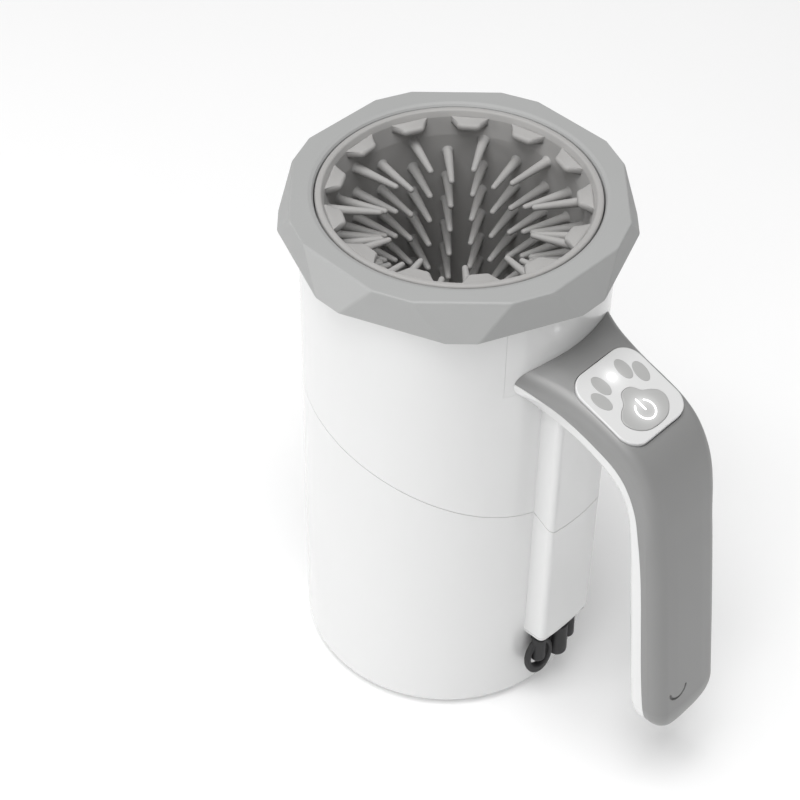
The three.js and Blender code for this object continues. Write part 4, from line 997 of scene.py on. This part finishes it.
def build_pins():
    """All bristles as one mesh: tapered pins that point at the cup's axis."""
    profile = pin_profile()
    angles = np.arange(PIN_SIDES) * 2 * math.pi / PIN_SIDES
    vertices, faces = [], []
    for column in range(PIN_COLUMNS):
        heading = math.radians(PIN_COLUMN_TURN - column * 360 / PIN_COLUMNS)
        out = np.array((math.cos(heading), math.sin(heading), 0))
        across = np.array((-out[1], out[0], 0))
        first = PIN_FIRST_HEIGHT - (column % 2) * PIN_STAGGER
        for row in range(PIN_ROWS):
            base = len(vertices)
            foot = out * LINER_INNER + np.array((0, 0, first - row * PIN_ROW_STEP))
            for reach, radius in profile[:-1]:
                for angle in angles:
                    vertices.append(foot - out * reach + radius * (math.cos(angle) * across
                                                                   + math.sin(angle) * np.array((0, 0, 1))))
            tip = len(vertices)
            vertices.append(foot - out * profile[-1][0])
            faces.append(tuple(base + i for i in range(PIN_SIDES)))
            for ring in range(len(profile) - 2):
                start = base + ring * PIN_SIDES
                for i in range(PIN_SIDES):
                    j = (i + 1) % PIN_SIDES
                    faces.append((start + i, start + j, start + PIN_SIDES + j, start + PIN_SIDES + i))
            last = base + (len(profile) - 2) * PIN_SIDES
            for i in range(PIN_SIDES):
                faces.append((last + i, last + (i + 1) % PIN_SIDES, tip))
    return solid(vertices, faces)


def build_tab(angle):
    root = LINER_INNER + TAB_ROOT_DEPTH
    outline = rounded([
        (root, -TAB_ROOT_HALF_WIDTH, 0), (root, TAB_ROOT_HALF_WIDTH, 0),
        (TAB_TIP_RADIUS, TAB_TIP_HALF_WIDTH, TAB_CORNER), (TAB_TIP_RADIUS, -TAB_TIP_HALF_WIDTH, TAB_CORNER),
    ])
    return turned_about_z(prism(outline, TAB_TOP - TAB_THICKNESS, TAB_TOP, TAB_EDGE, TAB_EDGE), angle)


def build_brush():
    floor_top = LINER_BOTTOM + LINER_FLOOR_THICKNESS
    cup = turned([
        (LINER_OPENING, LINER_BOTTOM, 0.3), (LINER_OUTER, LINER_BOTTOM, 2.5),
        (LINER_OUTER, LIP_BOTTOM, 0.2), (LIP_RADIUS, LIP_BOTTOM, 0.3), (LIP_RADIUS, LIP_TOP, 0.9),
        *[(LINER_INNER + out, LIP_TOP - down, rounding) for out, down, rounding in MOUTH_FLARE],
        (LINER_INNER, floor_top, 1.5), (LINER_OPENING, floor_top, 0.4),
    ])
    tabs = [build_tab(TAB_TURN - tab * 360 / TAB_COUNT) for tab in range(TAB_COUNT)]
    liner = together([cup, build_pins(), *tabs])
    stand_for(liner, "brush_liner", 40, weighted=False)

    floor_top = BASKET_FLOOR + BASKET_FLOOR_THICKNESS
    top, inner = LIP_BOTTOM - GAP, LINER_OUTER + GAP
    basket = turned([
        (0, BASKET_FLOOR, 0), (BASKET_OUTER, BASKET_FLOOR, 3), (BASKET_OUTER, top, 0.4), (inner, top, 0.4),
        (inner, floor_top, 1.5), (0, floor_top, 0),
    ])
    for i in range(DRAIN_COUNT):
        drain = drill(DRAIN_RADIUS, BASKET_FLOOR - 1, floor_top + 1, DRAIN_CIRCLE)
        cut(basket, turned_about_z(drain, i * 360 / DRAIN_COUNT))
    stand_for(basket, "brush_basket")

    socket_low, socket_high = extent("drive_socket")
    socket = disc(socket_high.x, socket_low.z, socket_high.z, 0.5, 0, 0, SOCKET_SIDES)
    cut(socket, prism(circle(SOCKET_HEX_RADIUS, sides=6), socket_low.z - 1, SOCKET_HEX_TOP))
    stand_for(socket, "drive_socket")
    dog_low, dog_high = extent("drive_dog")
    corners = [(x, y, DOG_CORNER) for x, y in circle(DOG_HEX_RADIUS, sides=6)]
    dog = prism(rounded(corners, 4), dog_low.z, dog_high.z, 0.2, 1.0)
    cut(dog, drill(DOG_BORE_RADIUS, dog_low.z - 1, dog_high.z - DOG_ROOF))
    stand_for(dog, "drive_dog")


# ---------------------------------------------------------------- handle


def handle_rows(inset=0.0, last=None):
    """Outlines of the handle along its length, each in the plane through its outer and its inner line."""
    rows = []
    for station in catmull(HANDLE_STATIONS[:last], HANDLE_ROWS_PER_STATION, closed=False):
        outer, inner = station[0:2], station[2:4]
        wide, narrow, corner, droop, bulge = station[4:9]
        depth = np.linalg.norm(outer - inner)
        along = (outer - inner) / depth
        wide, narrow = wide - inset, narrow - inset
        low, high = inset, depth - inset
        side_top = high - max(droop, 0)
        room = 0.45 * (side_top - low)
        corner = min(max(corner - inset / 2, 0.6), room, 0.9 * narrow)
        small = min(HANDLE_INNER_CORNER - inset / 2, room, 0.9 * narrow)
        flank_height = low + (side_top - low) * (1 - FLANK_SHARE)
        flank = narrow + (wide - narrow) * (1 - FLANK_SHARE)
        flank += max(bulge, 0) * (wide - flank) + FLANK_SWELL
        reach = wide - 1.5 * corner
        top = [(share * reach, high - max(droop, 0) * abs(share * reach / wide) ** CROWN_POWER, 0)
               for share in np.linspace(1, -1, 11)]
        outline = rounded([
            (narrow, low, small), (flank, flank_height, FLANK_CORNER), (wide, side_top, corner), *top,
            (-wide, side_top, corner), (-flank, flank_height, FLANK_CORNER), (-narrow, low, small),
        ], 10)
        rows.append([(inner[0] + along[0] * y, x, inner[1] + along[1] * y) for x, y in outline])
    return rows


def outer_slab(offset):
    """Broad slab over the outer side of the handle, down to the parting line."""
    rows = []
    for station in catmull(HANDLE_STATIONS, 4, closed=False):
        outer, inner = station[0:2], station[2:4]
        along = (outer - inner) / np.linalg.norm(outer - inner)
        rows.append((outer - along * (station[9] - offset), outer + along * SLAB_PROUD))
    low, high = rows[-1]
    drop = np.array((0, -4))
    rows.append((low + drop, high + drop))
    return skin([
        [(low[0], -SLAB_HALF_WIDTH, low[1]), (low[0], SLAB_HALF_WIDTH, low[1]),
         (high[0], SLAB_HALF_WIDTH, high[1]), (high[0], -SLAB_HALF_WIDTH, high[1])]
        for low, high in rows
    ])


def pad_outline():
    other = [(x, -y) for x, y in PAD_HALF[1:-1]][::-1]
    return catmull(PAD_HALF + other, 7)[::-1]


def symbol_arc():
    angles = np.radians(np.linspace(180 + SYMBOL_GAP_ANGLE, 540 - SYMBOL_GAP_ANGLE, 60))
    line = np.stack([SYMBOL_X + SYMBOL_RADIUS * np.cos(angles), SYMBOL_RADIUS * np.sin(angles)], axis=1)
    return stroke(line, SYMBOL_STROKE)


def symbol_bar():
    start = SYMBOL_X - SYMBOL_RADIUS - SYMBOL_BAR_PROUD
    line = [(start + (SYMBOL_X - start) * share, 0) for share in np.linspace(0, 1, 12)]
    return stroke(line, SYMBOL_STROKE)


def smile_cutter():
    """Round-bottomed crescent across the grip's outer face."""
    angles = np.radians(np.linspace(180 - SMILE_HALF_ANGLE, 180 + SMILE_HALF_ANGLE, 40))
    line = np.stack([SMILE_RADIUS * np.cos(angles), SMILE_RADIUS * np.sin(angles)], axis=1)
    cutter = prism(stroke(line, 2 * SMILE_STROKE), -SMILE_DEPTH, 3, SMILE_STROKE * 0.8, 0.0)
    place = (Matrix.Translation(SMILE_PLACE) @ Matrix.Rotation(math.radians(90 - GRIP_LEAN), 4, "Y")
             @ Matrix.Rotation(math.pi, 4, "Z"))
    return moved(cutter, place)


def build_handle():
    blank = skin(handle_rows())
    cut(blank, skin(handle_rows(HANDLE_WALL, HANDLE_HOLLOW_END)))
    cut(blank, disc(BODY_RADIUS + HANDLE_BODY_GAP, 100, 200))
    cut(blank, channel_block(-HANDLE_CHANNEL_GAP, CHANNEL_BOTTOM, CHANNEL_TOP + HANDLE_CHANNEL_GAP))
    cover = common(copied(blank), outer_slab(HANDLE_SEAM))
    margin = 2 * PANEL_GAP
    recess = rectangle(PANEL_LENGTH + margin, PANEL_WIDTH + margin, PANEL_CORNER + PANEL_GAP, 12)
    cut(cover, moved(prism(recess, -RECESS_DEPTH, RECESS_TOP, 0.0, -RECESS_FLARE), PANEL_PLACE))
    cut(cover, moved(prism(grown(recess, 0.3), 0.1, 6), PANEL_PLACE))
    cut(cover, smile_cutter())
    stand_for(cover, "handle_cover", 30)
    inner = cut(blank, outer_slab(-HANDLE_SEAM))
    for x, z in HANDLE_SCREWS:
        across = Matrix.Translation((x, 0, z)) @ Matrix.Rotation(math.pi / 2, 4, "Y")
        cut(inner, moved(drill(SCREW_HEAD_RADIUS, -8, 5), across))
    stand_for(inner, "handle_inner_shell", 30)


def build_panel():
    def on_panel(piece):
        return moved(piece, PANEL_PLACE)

    def toe_outline(x, y, turn, margin=0.0):
        return ellipse(x, y, TOE_LENGTH / 2 + margin, TOE_WIDTH / 2 + margin, turn)

    low = PANEL_PROUD - PANEL_THICKNESS
    panel = prism(rectangle(PANEL_LENGTH, PANEL_WIDTH, PANEL_CORNER, 12), low, PANEL_PROUD, 0.0, 0.45, 5)
    for toe in TOES:
        cut(panel, prism(toe_outline(*toe, 0.04), PANEL_PROUD - 0.9, 2))
    cut(panel, drill(LENS_RADIUS + 0.03, low - 1, 2, LENS_X))
    cut(panel, prism(grown(pad_outline(), 0.1), low - 1, PANEL_PROUD + 0.05, 0.0, -0.15))
    stand_for(on_panel(panel), "button_panel")
    for i, toe in enumerate(TOES):
        inlay = prism(toe_outline(*toe), PANEL_PROUD - 0.6, PANEL_PROUD + 0.08, 0.0, 0.12)
        stand_for(on_panel(inlay), f"toe_inlay_{i + 1}")
    lens = disc(LENS_RADIUS, low, PANEL_PROUD + 0.05, 0.1, LENS_X, 0, SMALL_SIDES)
    stand_for(on_panel(lens), "status_lens", material=light_material("status_light", 0.25, 1.9, 2.2))
    key = prism(pad_outline(), low, PAD_PROUD, 0.0, 0.35, 5)
    for outline in (symbol_arc(), symbol_bar()):
        cut(key, prism(grown(outline, 0.02), PAD_PROUD - SYMBOL_DEPTH - 0.05, PAD_PROUD + 1))
    stand_for(on_panel(key), "power_button")
    for node, outline in (("symbol_arc_light", symbol_arc()), ("symbol_bar_light", symbol_bar())):
        stand_for(on_panel(prism(outline, PAD_PROUD - SYMBOL_DEPTH, PAD_PROUD + 0.03)), node)


# ---------------------------------------------------------------- port cover


def rounded_box(low, high, edge):
    """Box between two corners with all its edges rounded."""
    outline = rounded([(low[0], low[1], edge), (high[0], low[1], edge), (high[0], high[1], edge),
                       (low[0], high[1], edge)])
    return prism(outline, low[2], high[2], edge, edge)


def build_port():
    top = CHANNEL_BOTTOM - GAP
    low = top - STRAP_THICKNESS
    anchor = rounded_box((STRAP_BACK, HINGE_Y, low), (STRAP_FRONT, ANCHOR_END_Y, top), 0.5)
    add(anchor, disc(PEG_RADIUS, top - 1, ANCHOR_TOP, 0.3, JACK_X, ANCHOR_END_Y - PEG_INSET, SMALL_SIDES))
    stand_for(anchor, "port_cover_anchor")
    flap = rounded_box((STRAP_BACK, STRAP_END_Y, low), (STRAP_FRONT, HINGE_Y - HINGE_GAP, top), 0.6)
    add(flap, disc(PLUG_RADIUS, top - 1, top + PLUG_HEIGHT, 0.3, JACK_X, JACK_Y, SMALL_SIDES))
    for x, y, radius, tip in KNOBS:
        add(flap, turned([
            (0, tip, 0), (radius, tip, KNOB_ROUNDING * radius), (KNOB_TAPER * radius, top - 0.5, 0.4),
            (0, top - 0.5, 0),
        ], SMALL_SIDES, x, y))
    wide, tall = LOOP_HALF_WIDTH, LOOP_HALF_HEIGHT
    ring = prism(ellipse(0, 0, wide, tall, sides=LOOP_SIDES), 0, LOOP_THICKNESS, LOOP_EDGE, LOOP_EDGE)
    hole = ellipse(0, LOOP_HOLE_OFFSET, wide - LOOP_BAND, tall - LOOP_END_BAND, sides=LOOP_SIDES)
    cut(ring, prism(hole, -0.01, LOOP_THICKNESS + 0.01, -1.0, -1.0))
    upright = Matrix(((0, 0, 1, 0), (1, 0, 0, 0), (0, 1, 0, 0), (0, 0, 0, 1)))
    place = Matrix.Translation(LOOP_PLACE) @ Matrix.Rotation(math.radians(LOOP_TURN), 4, "Z") @ upright
    add(flap, moved(ring, place))
    stand_for(flap, "port_cover", 50)


# ---------------------------------------------------------------- stage


def add_area(name, place, target, width, height, power):
    light = bpy.data.lights.new(name, "AREA")
    light.shape = "RECTANGLE"
    light.size, light.size_y = width, height
    light.energy = power
    lamp = bpy.data.objects.new(name, light)
    bpy.context.scene.collection.objects.link(lamp)
    lamp.location = place
    lamp.rotation_mode = "QUATERNION"
    lamp.rotation_quaternion = (target - place).to_track_quat("-Z", "Y")


def camera_direction(across, up, back):
    """Direction from its parts to the camera's right, straight up and level towards the camera."""
    turn = math.radians(CAMERA_AZIMUTH)
    right = Vector((math.cos(turn), math.sin(turn), 0))
    towards = Vector((math.sin(turn), -math.cos(turn), 0))
    return right * across + UP * up + towards * back


def build_stage():
    bpy.ops.mesh.primitive_plane_add(size=FLOOR_SIZE, location=(0, 0, 0))
    floor = bpy.context.object
    floor.name = "floor"
    n = Nodes("floor_white")
    n.link(n.blend(n.spread(n.noise(3), 0, 1), FLOOR_DARK, FLOOR_PALE), "Base Color")
    n.shader.inputs["Roughness"].default_value = 0.9
    n.shader.inputs["Specular IOR Level"].default_value = 0.1
    n.shader.inputs["Emission Color"].default_value = (1, 1, 1, 1)
    n.shader.inputs["Emission Strength"].default_value = FLOOR_GLOW
    floor.data.materials.append(n.material)

    world = bpy.data.worlds.new("studio")
    bpy.context.scene.world = world
    world.use_nodes = True
    background = world.node_tree.nodes["Background"]
    background.inputs["Color"].default_value = (1, 1, 1, 1)
    background.inputs["Strength"].default_value = WORLD_STRENGTH
    middle = Vector(MIDDLE)
    for name, (place, width, height, power) in LIGHTS.items():
        add_area(name, middle + camera_direction(*place), middle, width, height, power)


def build_camera():
    data = bpy.data.cameras.new("camera")
    data.lens = CAMERA_LENS
    data.sensor_width = 36
    data.clip_start, data.clip_end = 0.01, 20
    camera = bpy.data.objects.new("camera", data)
    bpy.context.scene.collection.objects.link(camera)
    camera.location = CAMERA_PLACE
    camera.rotation_euler = (
        Matrix.Rotation(math.radians(CAMERA_AZIMUTH), 3, "Z")
        @ Matrix.Rotation(math.radians(90 - CAMERA_ELEVATION), 3, "X")
        @ Matrix.Rotation(math.radians(CAMERA_ROLL), 3, "Z")
    ).to_euler()
    bpy.context.scene.camera = camera


build_camera()
build_shells()
build_tank_and_base()
build_rim()
build_brush()
build_handle()
build_panel()
build_port()
for node_name, cad_node in frame["nodes"].items():
    if not cad_node.hide_render:
        cad_node.data.materials.clear()
        cad_node.data.materials.append(materials[slot_of[node_name]])
build_stage()
bpy.context.scene.view_settings.view_transform = "Standard"
